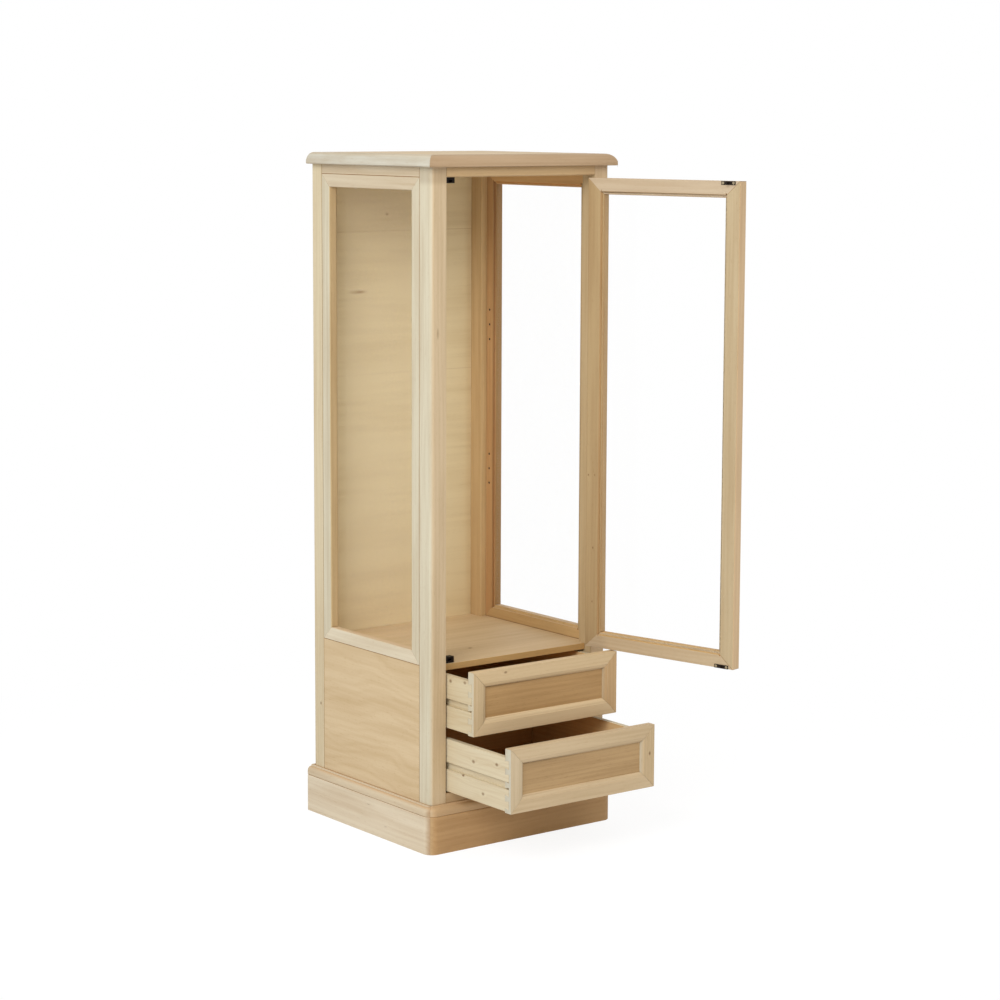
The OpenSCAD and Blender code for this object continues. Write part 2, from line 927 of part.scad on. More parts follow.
// Outlines of the dovetails on a drawer side, in Y and Z. They widen towards the front, and their
// roots reach a little way into the side.
module dovetails() {
    pitch = side_h / tail_count;
    root = pitch * 0.5;
    for (i = [0:tail_count - 1]) {
        mid = side_lift + (i + 0.5) * pitch;
        polygon([[side_front_y, mid - root / 2], [side_front_y + past, mid - root / 2],
                 [side_front_y + past, mid + root / 2], [side_front_y, mid + root / 2],
                 [side_front_y - tail_l, mid + root / 2 + tail_flare],
                 [side_front_y - tail_l, mid - root / 2 - tail_flare]]);
    }
}

// Extrudes an outline in Y and Z along X, through the thickness of a drawer's right side.
module through_side() {
    translate([drawer_half_w - side_t, 0, 0]) rotate([90, 0, 90]) linear_extrude(side_t) children();
}

// Section of a front's member: x runs inward from the outer edge, y runs to the back.
module front_member_section() {
    flat = front_member_w - front_round_w;
    fall = panel_sink - front_quirk;
    arc_r = (front_round_w * front_round_w + fall * fall) / (2 * fall);
    difference() {
        square([front_member_w, front_t]);
        difference() {
            translate([flat, -past]) square([front_round_w + past, panel_sink + past]);
            translate([flat, front_quirk + arc_r]) circle(r = arc_r, $fn = 120);
        }
        translate([front_member_w - panel_lap, panel_sink]) square([panel_lap + past, front_t]);
    }
}

// One member of a drawer front, as long as the front's side that it lies on.
module front_member(side) {
    w = 2 * drawer_half_w;
    intersection() {
        mitred_member(side, w, front_h, front_t, front_member_w, front_member_w);
        if (side == "left")
            linear_extrude(front_h) front_member_section();
        else if (side == "right")
            translate([w, 0, 0]) mirror([1, 0, 0]) linear_extrude(front_h) front_member_section();
        else if (side == "bottom")
            translate([w, 0, 0]) rotate([0, -90, 0]) linear_extrude(w) front_member_section();
        else
            translate([0, 0, front_h]) rotate([0, 90, 0]) linear_extrude(w) front_member_section();
    }
}

module drawer_bottom_board() {
    x = drawer_half_w - side_t + bottom_groove;
    z = side_lift + bottom_lift;
    block([-x, side_front_y - bottom_groove, z], [x, side_front_y - tail_l + drawer_l, z + bottom_t]);
}

// The glue lines of a drawer front's four mitres, cut out as hairlines that part its members.
module front_mitre_lines() {
    reach = 1.5 * front_member_w;
    for (x = [-1, 1], z = [0, 1])
        translate([x * drawer_half_w, face_y - past, z * front_h])
            rotate([0, z == 0 ? 45 * x : -45 * x, 0]) translate([-reach, 0, -mitre_line / 2])
                cube([2 * reach, front_t + 2 * past, mitre_line]);
}

module drawer_front_frame() {
    difference() {
        for (side = ["left", "right", "bottom", "top"])
            translate([-drawer_half_w, face_y, 0]) front_member(side);
        mirrored_pair() through_side() dovetails();
        front_mitre_lines();
        drawer_bottom_board();
    }
}

module drawer_front_panel() {
    inset = front_member_w - panel_lap;
    block([inset - drawer_half_w, face_y + panel_sink, inset],
          [drawer_half_w - inset, side_front_y, front_h - inset]);
}

module drawer_side() {
    rear_y = side_front_y - tail_l + drawer_l;
    difference() {
        union() {
            block([drawer_half_w - side_t, side_front_y, side_lift],
                  [drawer_half_w, rear_y, side_lift + side_h]);
            through_side() dovetails();
        }
        block([drawer_half_w - runner_groove_d, side_front_y - tail_l - past, groove_z - runner_groove_h / 2],
              [drawer_half_w + past, rear_y + past, groove_z + runner_groove_h / 2]);
        drawer_bottom_board();
    }
}

module drawer_back() {
    rear_y = side_front_y - tail_l + drawer_l;
    x = drawer_half_w - side_t;
    block([-x, rear_y - side_t, side_lift + bottom_lift + bottom_t],
          [x, rear_y, side_lift + side_h - back_drop]);
}

module upper_drawer() {
    translate([0, -upper_pull, upper_z]) children();
}

module lower_drawer() {
    translate([0, -lower_pull, lower_z]) children();
}

module upper_front_frame() {
    color("#c9b08a") upper_drawer() drawer_front_frame();
}

module upper_front_panel() {
    color("#ab855c") upper_drawer() drawer_front_panel();
}

module upper_side_left() {
    color("#e0cfa4") upper_drawer() mirror([1, 0, 0]) drawer_side();
}

module upper_side_right() {
    color("#e0cfa4") upper_drawer() drawer_side();
}

module upper_back() {
    color("#d8c397") upper_drawer() drawer_back();
}

module upper_bottom() {
    color("#b4945f") upper_drawer() drawer_bottom_board();
}

module lower_front_frame() {
    color("#c9b08a") lower_drawer() drawer_front_frame();
}

module lower_front_panel() {
    color("#ab855c") lower_drawer() drawer_front_panel();
}

module lower_side_left() {
    color("#e0cfa4") lower_drawer() mirror([1, 0, 0]) drawer_side();
}

module lower_side_right() {
    color("#e0cfa4") lower_drawer() drawer_side();
}

module lower_back() {
    color("#d8c397") lower_drawer() drawer_back();
}

module lower_bottom() {
    color("#b4945f") lower_drawer() drawer_bottom_board();
}

// ---------------------------------------------------------------- nodes

top_panel();
top_edge_front();
top_edge_left();
top_edge_right();
post_front_left();
post_front_right();
post_rear_left();
post_rear_right();
front_top_rail();
front_bottom_rail();
side_top_rails();
back_rails();
left_frame_front_stile();
left_frame_rear_stile();
left_frame_top_rail();
left_frame_bottom_rail();
right_frame_front_stile();
right_frame_rear_stile();
right_frame_top_rail();
right_frame_bottom_rail();
left_glass();
right_glass();
side_panel_left();
side_panel_right();
back_panel();
deck();
deck_bearers();
base_moulding_front();
base_moulding_left();
base_moulding_right();
plinth_front();
plinth_left();
plinth_right();
plinth_back();
plinth_blocks();
drawer_runners();
case_screws();
catches();
hinge_case_leaves();
hinge_pins();
door_hinge_stile();
door_free_stile();
door_top_rail();
door_bottom_rail();
door_glass();
catch_strikes();
hinge_door_leaves();
door_screws();
upper_front_frame();
upper_front_panel();
upper_side_left();
upper_side_right();
upper_back();
upper_bottom();
lower_front_frame();
lower_front_panel();
lower_side_left();
lower_side_right();
lower_back();
lower_bottom();
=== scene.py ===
"""Pedestal display case: the looks of its boards, glass and fittings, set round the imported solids.

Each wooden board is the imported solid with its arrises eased, in a raw wood of its own whose rings,
streaks and knots run through the board in millimetres. Panes, hinges, screws, catches and strikes
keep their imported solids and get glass, brass, steel and lacquer. The stage is a plain pale studio
with the camera at the photograph's angle. All lengths are in metres unless a name or a comment
says millimetres.
"""
import json
import math
import random

import bmesh
import bpy
import numpy as np
from mathutils import Matrix, Vector
from mathutils.bvhtree import BVHTree


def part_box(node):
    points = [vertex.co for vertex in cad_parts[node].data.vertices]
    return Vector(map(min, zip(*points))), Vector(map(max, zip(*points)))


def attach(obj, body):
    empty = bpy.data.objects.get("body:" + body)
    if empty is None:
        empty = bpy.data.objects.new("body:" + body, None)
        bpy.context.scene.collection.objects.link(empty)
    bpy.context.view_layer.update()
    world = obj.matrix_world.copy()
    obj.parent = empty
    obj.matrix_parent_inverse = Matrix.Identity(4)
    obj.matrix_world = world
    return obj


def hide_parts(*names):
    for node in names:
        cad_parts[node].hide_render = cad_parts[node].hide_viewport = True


bl_info = {
    "name": "Pedestal Display Case",
    "version": (1, 0, 0),
    "blender": (4, 5, 0),
    "location": "View3D > Sidebar > Display Case",
    "description": "Dresses a glazed display case in raw wood, glass, brass and steel",
    "category": "Object",
}

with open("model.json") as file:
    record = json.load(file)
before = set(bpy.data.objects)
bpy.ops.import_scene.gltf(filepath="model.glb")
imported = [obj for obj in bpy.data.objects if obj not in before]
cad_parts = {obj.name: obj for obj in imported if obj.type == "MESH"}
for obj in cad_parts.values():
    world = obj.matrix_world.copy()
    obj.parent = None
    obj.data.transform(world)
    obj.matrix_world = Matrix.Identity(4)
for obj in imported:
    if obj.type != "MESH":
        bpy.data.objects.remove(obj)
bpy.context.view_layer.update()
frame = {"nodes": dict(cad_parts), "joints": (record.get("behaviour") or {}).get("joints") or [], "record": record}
SLOTS = {row["node"]: row["material_slot"] for row in frame["record"]["subparts"]}
BODIES = frame["record"]["behaviour"]["bodies"]
BODY_OF = {node: body for body, nodes in BODIES.items() for node in nodes}
DOOR_ANGLE = math.radians(-frame["joints"][0]["range_deg"][0])
MM = 0.001
AXES = {"X": 0, "Y": 1, "Z": 2}


def linear(hex_colour):
    """sRGB hex to linear RGB: c / 12.92 up to 0.04045, ((c + 0.055) / 1.055) ** 2.4 above it."""
    parts = [int(hex_colour[i:i + 2], 16) / 255 for i in (0, 2, 4)]
    return tuple(c / 12.92 if c <= 0.04045 else ((c + 0.055) / 1.055) ** 2.4 for c in parts)


def colour_prop(name, description, hex_colour):
    """A colour that a user may change, with its default given as sRGB hex."""
    return bpy.props.FloatVectorProperty(
        name=name, description=description, subtype="COLOR", size=3, min=0, max=1,
        default=linear(hex_colour))


def length_prop(name, description, mm, low, high):
    """A length that a user may change, with default and limits in millimetres."""
    return bpy.props.FloatProperty(
        name=name, description=description, subtype="DISTANCE", unit="LENGTH",
        default=mm * MM, min=low * MM, max=high * MM, precision=5)


class CaseSizes(bpy.types.PropertyGroup):
    """The sizes that finish the boards' edges."""
    arris: length_prop("Arris", "Width of the easing on a board's free edges", 0.6, 0.2, 1.5)
    door_arris: length_prop(
        "Door arris", "Width of the easing on the door's free edges", 1.5, 0.3, 3.0)
    seam: length_prop("Seam", "Width of the easing beside a glued joint", 0.7, 0.1, 1.2)


class CaseColours(bpy.types.PropertyGroup):
    """The colours of the woods and fittings."""
    # The side colour goes on faces that look to the left: paler and greyer, it is painted light from the soft box
    # on that side.
    beech_front: colour_prop("Beech, front", "Flat-sawn faces of the beech boards", "D9BC98")
    beech_side: colour_prop("Beech, side", "Quarter-sawn faces of the beech boards", "DBCDB4")
    beech_figure: colour_prop("Beech figure", "Late wood and pores of the beech", "A98659")
    fir: colour_prop("Fir", "Drawer boxes of planed fir", "E6D2A9")
    fir_figure: colour_prop("Fir figure", "Late wood lines of the fir", "B98E52")
    veneer: colour_prop("Veneer", "Beech veneer on the lower side panels", "D8C19C")
    veneer_figure: colour_prop("Veneer figure", "Wavy figure of the beech veneer", "B59464")
    panel: colour_prop("Drawer panel", "Veneer of the drawers' sunk panels", "BC9A6C")
    panel_figure: colour_prop("Drawer panel figure", "Streaks in the drawers' panels", "8E6C42")
    plywood: colour_prop("Plywood", "Rotary-cut face of the back panel", "D3BC92")
    plywood_figure: colour_prop("Plywood figure", "Figure of the back panel", "A5834F")
    seam: colour_prop("Seam", "Glue line and dust in the joints", "88663F")
    # The bore colour's near-black is painted shade inside a drilled hole.
    bore: colour_prop("Bore", "Wood inside a drilled hole", "241408")
    knot: colour_prop("Knot", "Heart of a knot", "6E4A26")
    lacquer: colour_prop("Lacquer", "Dark lacquer on catches and strikes", "20130B")
    brass: colour_prop("Brass", "Satin brass hinges", "C9A55C")
    steel: colour_prop("Steel", "Yellow-plated steel screws", "B5A688")
    glass: colour_prop("Glass", "Clear float glass", "EDF4F2")


# ---------------------------------------------------------------- nodes and materials

def add(tree, kind, inputs=None, out=None, **settings):
    """Adds a node, of kind "Math" for ShaderNodeMath, and gives its output named out, or its first.

    settings are the node's own properties, and inputs give its sockets a value or a link. By
    number, 1 to 4 of a MapRange are the two ends that it reads and the two that it gives, and 6
    and 7 of a Mix are its colours, which come out at 2.
    """
    node = tree.nodes.new("ShaderNode" + kind)
    for key, value in settings.items():
        setattr(node, key, value)
    for key, value in (inputs or {}).items():
        if isinstance(value, bpy.types.NodeSocket):
            tree.links.new(value, node.inputs[key])
        else:
            node.inputs[key].default_value = value
    return node.outputs[out or 0] if len(node.outputs) else node


def blank(name):
    """A new material with an empty tree, its surface shader and its output."""
    material = bpy.data.materials.new(name)
    material.use_nodes = True
    tree = material.node_tree
    tree.nodes.clear()
    surface = add(tree, "BsdfPrincipled")
    add(tree, "OutputMaterial", {"Surface": surface})
    return material, tree, surface.node


# Each wood's habit. Sizes are in millimetres: ring = distance between growth rings, warp = how far
# a ring wanders, warp_across and warp_along = over what distance, streak = width of the streaks,
# pith = how far the pith lies from the board's middle. The rest are the strengths of rings,
# streaks, broad shade and pores, the sharpness of the late wood, roughness and bump.

# Beech, planed and sanded, unfinished: an even pale pinkish tan, matt, with soft streaks, short
# flecks.
BEECH = dict(ring=8, warp=14, warp_across=50, warp_along=420, streak=6, rings=0.10, streaks=0.13,
             broad=0.20, pores=0.16, late=1.5, rough=0.62, bump=0.12, pith=(55, 38))
# Beech from nearer the bark, for the mouldings of the top: the same with pale and greyish bands.
BANDED = dict(BEECH, warp_along=160, streak=10, streaks=0.24, broad=0.34)
# Fir, planed: creamy, with thin darker late wood lines and small brown knots.
FIR = dict(ring=9, warp=22, warp_across=60, warp_along=300, streak=3.5, rings=0.10, streaks=0.13,
           broad=0.16, pores=0.08, late=2.2, rough=0.58, bump=0.14, pith=(34, 60))
# Beech veneer, sliced and sanded: wide waves of figure, with a fine weave of flecks across them.
VENEER = dict(ring=18, warp=56, warp_across=140, warp_along=280, streak=4.0, rings=0.13,
              streaks=0.11, broad=0.26, pores=0.30, late=1.6, rough=0.60, bump=0.10, pith=(30, 160))
# Beech veneer, sliced and left raw in the drawers' sunk panels: browner, with narrow lengthwise
# streaks.
INSET = dict(ring=9, warp=10, warp_across=40, warp_along=340, streak=3.6, rings=0.10, streaks=0.20,
             broad=0.26, pores=0.22, late=1.6, rough=0.60, bump=0.10, pith=(60, 90))
# Plywood with a rotary-cut face: broad, lazy cloud-like figure, low contrast, matt.
PLYWOOD = dict(ring=26, warp=64, warp_across=100, warp_along=520, streak=7.0, rings=0.07,
               streaks=0.08, broad=0.13, pores=0.10, late=1.3, rough=0.64, bump=0.08,
               pith=(90, 200))

# The same in every wood, as width and length along the grain in millimetres. Real pores are 0.1 mm
# wide, and are drawn at 1.5 mm because they would not show. A streak's length is a multiple of its
# width.
BROAD_MM = (34, 300)
PORE_MM = (1.5, 14)
STREAK_STRETCH = 55
# How wide the clouds of dust on the glass are, and the patches of glue in the seams and of the painted shade in
# drilled holes.
DUST_MM = 71.43
PATCH_MM = 25
# How far the late wood stands in, and how high grit stands out, at a bump of full strength.
WOOD_RELIEF = 0.0004
GRIT_RELIEF = 0.0001


def raw_wood(name, habit, colours, grain, seed, turn, knots, lines, painted_light_and_shade):
    """A solid wood that carries on through the board, read from the board's place in millimetres.

    The rings are cylinders round a pith that lies along the grain: ring phase = (distance from the
    pith + slow noise + a swell beside each knot) / ring distance. Late wood is a power of the
    phase's sine. Streaks, broad shade and pores are noises drawn out along the grain. colours are
    the light wood, the paler and greyer colour of faces that look to the left, which is painted
    light from the soft box on that side, the figure and the knot. turn is the board's turn about
    the upright. knots are (centre in mm, half width, stretch along the grain, darkness), and lines
    are (axis, place in mm, half width, darkness) for a straight mark across the board, or for a
    band of painted shadow under the top's moulding. into holds ways and the tint of the faces that
    point that way: painted shade, darker and mostly warmer on faces in shade inside the case, under
    a part or beside the door, and painted light where a tint makes a face brighter.
    """
    material, tree, shader = blank(name)
    draw = random.Random(seed)
    light, side, figure, knot = [(*c, 1) for c in colours]
    axis = AXES[grain]
    across = [0.0 if i == axis else 1.0 for i in range(3)]
    place = add(tree, "TexCoord", out="Object")
    normal = place.node.outputs["Normal"]
    mm = add(tree, "Mapping", {
        "Vector": place, "Rotation": (0, 0, turn), "Scale": (1000, 1000, 1000)})
    layers = []
    for width, along, detail in ((habit["warp_across"], habit["warp_along"], 2.0),
                                 (habit["streak"], habit["streak"] * STREAK_STRETCH, 4.0),
                                 (*BROAD_MM, 1.0), (*PORE_MM, 2.0)):
        scale = [1 / along if i == axis else 1 / width for i in range(3)]
        drawn_out = add(tree, "Mapping", {
            "Vector": mm, "Location": [draw.uniform(-50, 50) for _ in range(3)], "Scale": scale})
        layers.append(add(tree, "TexNoise", {
            "Vector": drawn_out, "Scale": 1.0, "Detail": detail, "Roughness": 0.55}, out="Fac"))
    wander, streak, broad, pores = layers

    pith = list(board_middle(name))
    for i, size in zip([i for i in range(3) if i != axis], habit["pith"]):
        pith[i] += size * draw.choice((-1, 1)) * draw.uniform(0.8, 1.2)
    off = add(tree, "VectorMath", {0: mm, 1: pith}, operation="SUBTRACT")
    off = add(tree, "VectorMath", {0: off, 1: across}, operation="MULTIPLY")
    radius = add(tree, "VectorMath", {0: off}, out="Value", operation="LENGTH")
    radius = add(tree, "Math", {0: wander, 1: 2 * habit["warp"], 2: radius},
                 operation="MULTIPLY_ADD")
    knots_marks_and_shade = []
    for spot, half, stretch, dark in knots:
        shrink = [1 / (half * (stretch if i == axis else 1)) for i in range(3)]
        away = add(tree, "VectorMath", {0: mm, 1: spot}, operation="SUBTRACT")
        away = add(tree, "VectorMath", {0: away, 1: shrink}, operation="MULTIPLY")
        away = add(tree, "VectorMath", {0: away}, out="Value", operation="LENGTH")
        swell = add(tree, "MapRange", {0: away, 1: 0, 2: 4, 3: 2.2 * half, 4: 0},
                    interpolation_type="SMOOTHSTEP")
        radius = add(tree, "Math", {0: radius, 1: swell}, operation="ADD")
        core = add(tree, "MapRange", {0: away, 1: 0.2, 2: 0.8, 3: 1, 4: 0.62},
                   interpolation_type="SMOOTHSTEP")
        rim = add(tree, "MapRange", {0: away, 1: 0.7, 2: 1.35, 3: dark, 4: 0},
                  interpolation_type="SMOOTHSTEP")
        knots_marks_and_shade.append(add(tree, "Math", {0: core, 1: rim}, operation="MULTIPLY"))
    # A line is a straight mark across the board, or a band of painted shadow under the top's moulding.
    for line_axis, at, half, dark in lines:
        gap = add(tree, "SeparateXYZ", {0: mm}, out=line_axis)
        gap = add(tree, "Math", {0: gap, 1: at}, operation="SUBTRACT")
        gap = add(tree, "Math", {0: gap}, operation="ABSOLUTE")
        knots_marks_and_shade.append(add(tree, "MapRange", {0: gap, 1: half * 0.5, 2: half * 1.5, 3: dark, 4: 0},
                          interpolation_type="SMOOTHSTEP"))

    phase = add(tree, "Math", {0: radius, 1: 2 * math.pi / habit["ring"]}, operation="MULTIPLY")
    late = add(tree, "Math", {0: phase}, operation="SINE")
    late = add(tree, "Math", {0: late, 1: 0.5, 2: 0.5}, operation="MULTIPLY_ADD")
    late = add(tree, "Math", {0: late, 1: habit["late"]}, operation="POWER")
    shade = add(tree, "Math", {0: late, 1: habit["rings"], 2: -0.08}, operation="MULTIPLY_ADD")
    for layer, low, high, share in ((streak, 0.34, 0.66, habit["streaks"]),
                                    (broad, 0.30, 0.70, habit["broad"]),
                                    (pores, 0.60, 0.70, habit["pores"])):
        full = add(tree, "MapRange", {0: layer, 1: low, 2: high}, interpolation_type="SMOOTHSTEP")
        shade = add(tree, "Math", {0: full, 1: share, 2: shade}, operation="MULTIPLY_ADD")
    clear = add(tree, "Clamp", {0: shade})

    # Faces that look to the left take the side colour: painted light from the soft box on that side.
    sideways = add(tree, "SeparateXYZ", {0: normal}, out="X")
    left_lit_share = add(tree, "MapRange", {0: sideways, 1: -0.3, 2: -0.95},
                  interpolation_type="SMOOTHSTEP")
    wood = add(tree, "Mix", {0: left_lit_share, 6: light, 7: side}, out=2, data_type="RGBA")
    wood = add(tree, "Mix", {0: clear, 6: wood, 7: figure}, out=2, data_type="RGBA")
    # Painted light and shade: faces that point a given way get a tint, mostly darker and warmer.
    for way, warm in painted_light_and_shade:
        facing = add(tree, "VectorMath", {0: normal, 1: Vector(way).normalized()}, out="Value",
                     operation="DOT_PRODUCT")
        facing = add(tree, "MapRange", {0: facing, 1: 0.15, 2: 0.75},
                     interpolation_type="SMOOTHSTEP")
        wood = add(tree, "Mix", {0: facing, 6: wood, 7: (*warm, 1)}, out=2, data_type="RGBA",
                   blend_type="MULTIPLY")
    for heart in knots_marks_and_shade:
        wood = add(tree, "Mix", {0: heart, 6: wood, 7: knot}, out=2, data_type="RGBA")
    tree.links.new(wood, shader.inputs["Base Color"])
    rough = add(tree, "MapRange", {0: clear, 3: habit["rough"] - 0.04, 4: habit["rough"] + 0.08})
    tree.links.new(rough, shader.inputs["Roughness"])
    relief = add(tree, "Bump", {
        "Strength": habit["bump"], "Distance": WOOD_RELIEF, "Height": clear}, invert=True)
    tree.links.new(relief, shader.inputs["Normal"])
    shader.inputs["IOR"].default_value = 1.45
    shader.inputs["Specular IOR Level"].default_value = 0.35
    return material


def board_middle(name):
    """The middle of the node that a material is named for, in millimetres of its own frame."""
    node = name.split("-")[-1]
    low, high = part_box(node)
    middle = (low + high) / 2 * 1000
    if BODY_OF[node] == "door":
        middle = Matrix.Rotation(-DOOR_ANGLE, 3, "Z") @ middle
    return middle


def metal(name, colour, metallic, rough, grit_mm, mottle, bump=0.1, sheen=0.5):
    """A metal or lacquer whose shade and gloss wander over grit_mm and over 12 times that.

    mottle is the share by which the shade falls, and sheen is how much a lacquer reflects, 0.5 as
    a rule.
    """
    material, tree, shader = blank(name)
    place = add(tree, "TexCoord", out="Object")
    grit = add(tree, "TexNoise", {
        "Vector": place, "Scale": 1000 / grit_mm, "Detail": 4.0, "Roughness": 0.6})
    cloud = add(tree, "TexNoise", {"Vector": place, "Scale": 1000 / (grit_mm * 12), "Detail": 2.0})
    both = add(tree, "Math", {0: grit, 1: cloud}, operation="MULTIPLY")
    dark = tuple(c * (1 - mottle) for c in colour)
    shade = add(tree, "MapRange", {0: both, 1: 0.12, 2: 0.4})
    tone = add(tree, "Mix", {0: shade, 6: (*dark, 1), 7: (*colour, 1)}, out=2, data_type="RGBA")
    tree.links.new(tone, shader.inputs["Base Color"])
    gloss = add(tree, "MapRange", {0: both, 1: 0.1, 2: 0.4, 3: rough + 0.08, 4: rough - 0.06})
    tree.links.new(gloss, shader.inputs["Roughness"])
    relief = add(tree, "Bump", {"Strength": bump, "Distance": GRIT_RELIEF, "Height": grit})
    tree.links.new(relief, shader.inputs["Normal"])
    shader.inputs["Metallic"].default_value = metallic
    shader.inputs["Specular IOR Level"].default_value = sheen
    return material


def float_glass(name, colour):
    """See-through glass under a faint dust film in clouds of DUST_MM.

    Its cover grows where it is seen aslant, as half of (1 - cosine of the slant) to the fifth
    power + film.
    """
    material, tree, shader = blank(name)
    place = add(tree, "TexCoord", out="Object")
    cloud = add(tree, "TexNoise", {"Vector": place, "Scale": 1000 / DUST_MM, "Detail": 5.0})
    slant = add(tree, "LayerWeight", {"Blend": 0.5}, out="Facing")
    slant = add(tree, "Math", {0: slant, 1: 5.0}, operation="POWER")
    film = add(tree, "MapRange", {0: cloud, 1: 0.3, 2: 0.7, 3: 0.006, 4: 0.012})
    cover = add(tree, "Math", {0: slant, 1: 0.5, 2: film}, operation="MULTIPLY_ADD")
    tree.links.new(cover, shader.inputs["Alpha"])
    gloss = add(tree, "MapRange", {0: cloud, 1: 0.3, 2: 0.7, 3: 0.01, 4: 0.04})
    tree.links.new(gloss, shader.inputs["Roughness"])
    shader.inputs["Base Color"].default_value = (*colour, 1)
    shader.inputs["Transmission Weight"].default_value = 1.0
    shader.inputs["IOR"].default_value = 1.5
    return material


# Inside a drilled hole this brown wood is painted shade.
def shaded_wood(name, colour):
    """Brown wood in patches, as in the line where boards meet and inside a drilled hole."""
    material, tree, shader = blank(name)
    place = add(tree, "TexCoord", out="Object")
    patch = add(tree, "TexNoise", {"Vector": place, "Scale": 1000 / PATCH_MM, "Detail": 3.0})
    patch = add(tree, "MapRange", {0: patch, 1: 0.35, 2: 0.65})
    pale = tuple(min(1.0, c * 1.35) for c in colour)
    tone = add(tree, "Mix", {0: patch, 6: (*colour, 1), 7: (*pale, 1)}, out=2, data_type="RGBA")
    tree.links.new(tone, shader.inputs["Base Color"])
    shader.inputs["Roughness"].default_value = 0.8
    return material


# ---------------------------------------------------------------- boards

def square_box(node):
    """Lowest and highest corner of a node, square to its board: the door's are turned back shut."""
    mesh = frame["nodes"][node].data
    points = np.empty(len(mesh.vertices) * 3)
    mesh.vertices.foreach_get("co", points)
    points = points.reshape(-1, 3)
    if BODY_OF[node] == "door":
        points = points @ np.array(Matrix.Rotation(-DOOR_ANGLE, 3, "Z")).T
    return points.min(0), points.max(0)


NOT_WOOD = ("clear_glass", "dark_lacquered_steel", "hinge_brass", "screw_steel")
WOODEN = [n for n in SLOTS if SLOTS[n] not in NOT_WOOD]
MESHES = {n: frame["nodes"][n].data for n in WOODEN}
SKINS = {n: BVHTree.FromPolygons([v.co for v in m.vertices], [p.vertices for p in m.polygons])
         for n, m in MESHES.items()}
# The faces of a drilled hole's round wall are narrower than BORE_SIDE and smaller than BORE_AREA,
# in square metres, and its flat floor has more than BORE_CORNERS edges. Both meet their neighbours
# in edges that turn inwards by more than BORE_TURN, in radians.
BORE_SIDE = 0.0009
BORE_AREA = 3e-5
BORE_CORNERS = 11
BORE_TURN = 0.05
# A mitre is closed tighter than other joints, by this share of their seam.
MITRE_SHARE = 0.2
# An edge runs along an axis where that axis has at least this share of its way.
ALONG_AXIS = 0.999
# Corners nearer than WELD are one, an edge under JOINT_GAP from another board is beside a joint,
# and the rounding keeps the seam's look up to SEAM_REACH from such a board.
WELD = 2e-6
JOINT_GAP = 0.0004
SEAM_REACH = 0.0008
# Faces that turn less than FLAT are one, an edge that turns more than ARRIS is eased, and one that
# still turns more than CREASE afterwards is shaded sharp.
FLAT = math.radians(0.6)
ARRIS = math.radians(35)
CREASE = math.radians(38)


def touching(node, points, reach):
    """For each point, whether another board of the same body lies within reach of it."""
    others = [SKINS[n] for n in WOODEN if n != node and BODY_OF[n] == BODY_OF[node]]
    return [any(skin.find_nearest(p, reach)[0] is not None for skin in others) for p in points]


def closed_tight(edge, node):
    """Whether an edge lies in a mitre: it runs aslant, or stands upright at a corner of the base.

    The edges of other joints run along an axis of the board.
    """
    way = (edge.verts[1].co - edge.verts[0].co).normalized()
    if BODY_OF[node] == "door":
        way = Matrix.Rotation(-DOOR_ANGLE, 3, "Z") @ way
    if max(abs(c) for c in way) < ALONG_AXIS:
        return True
    return abs(way.z) > ALONG_AXIS and node.startswith(("plinth", "base_moulding"))


def bore_faces(form):
    """The walls and floors of round holes: narrow faces whose edges turn inwards, save the rim."""
    found = set()
    for face in form.faces:
        inward = [e for e in face.edges if not e.is_convex and e.calc_face_angle(0) > BORE_TURN]
        narrow = min(e.calc_length() for e in face.edges) < BORE_SIDE
        wall = len(face.edges) == 4 and len(inward) >= 2 and face.calc_area() < BORE_AREA
        ground = len(face.edges) > BORE_CORNERS and len(inward) == len(face.edges)
        if narrow and (wall or ground):
            found.add(face)
    return found


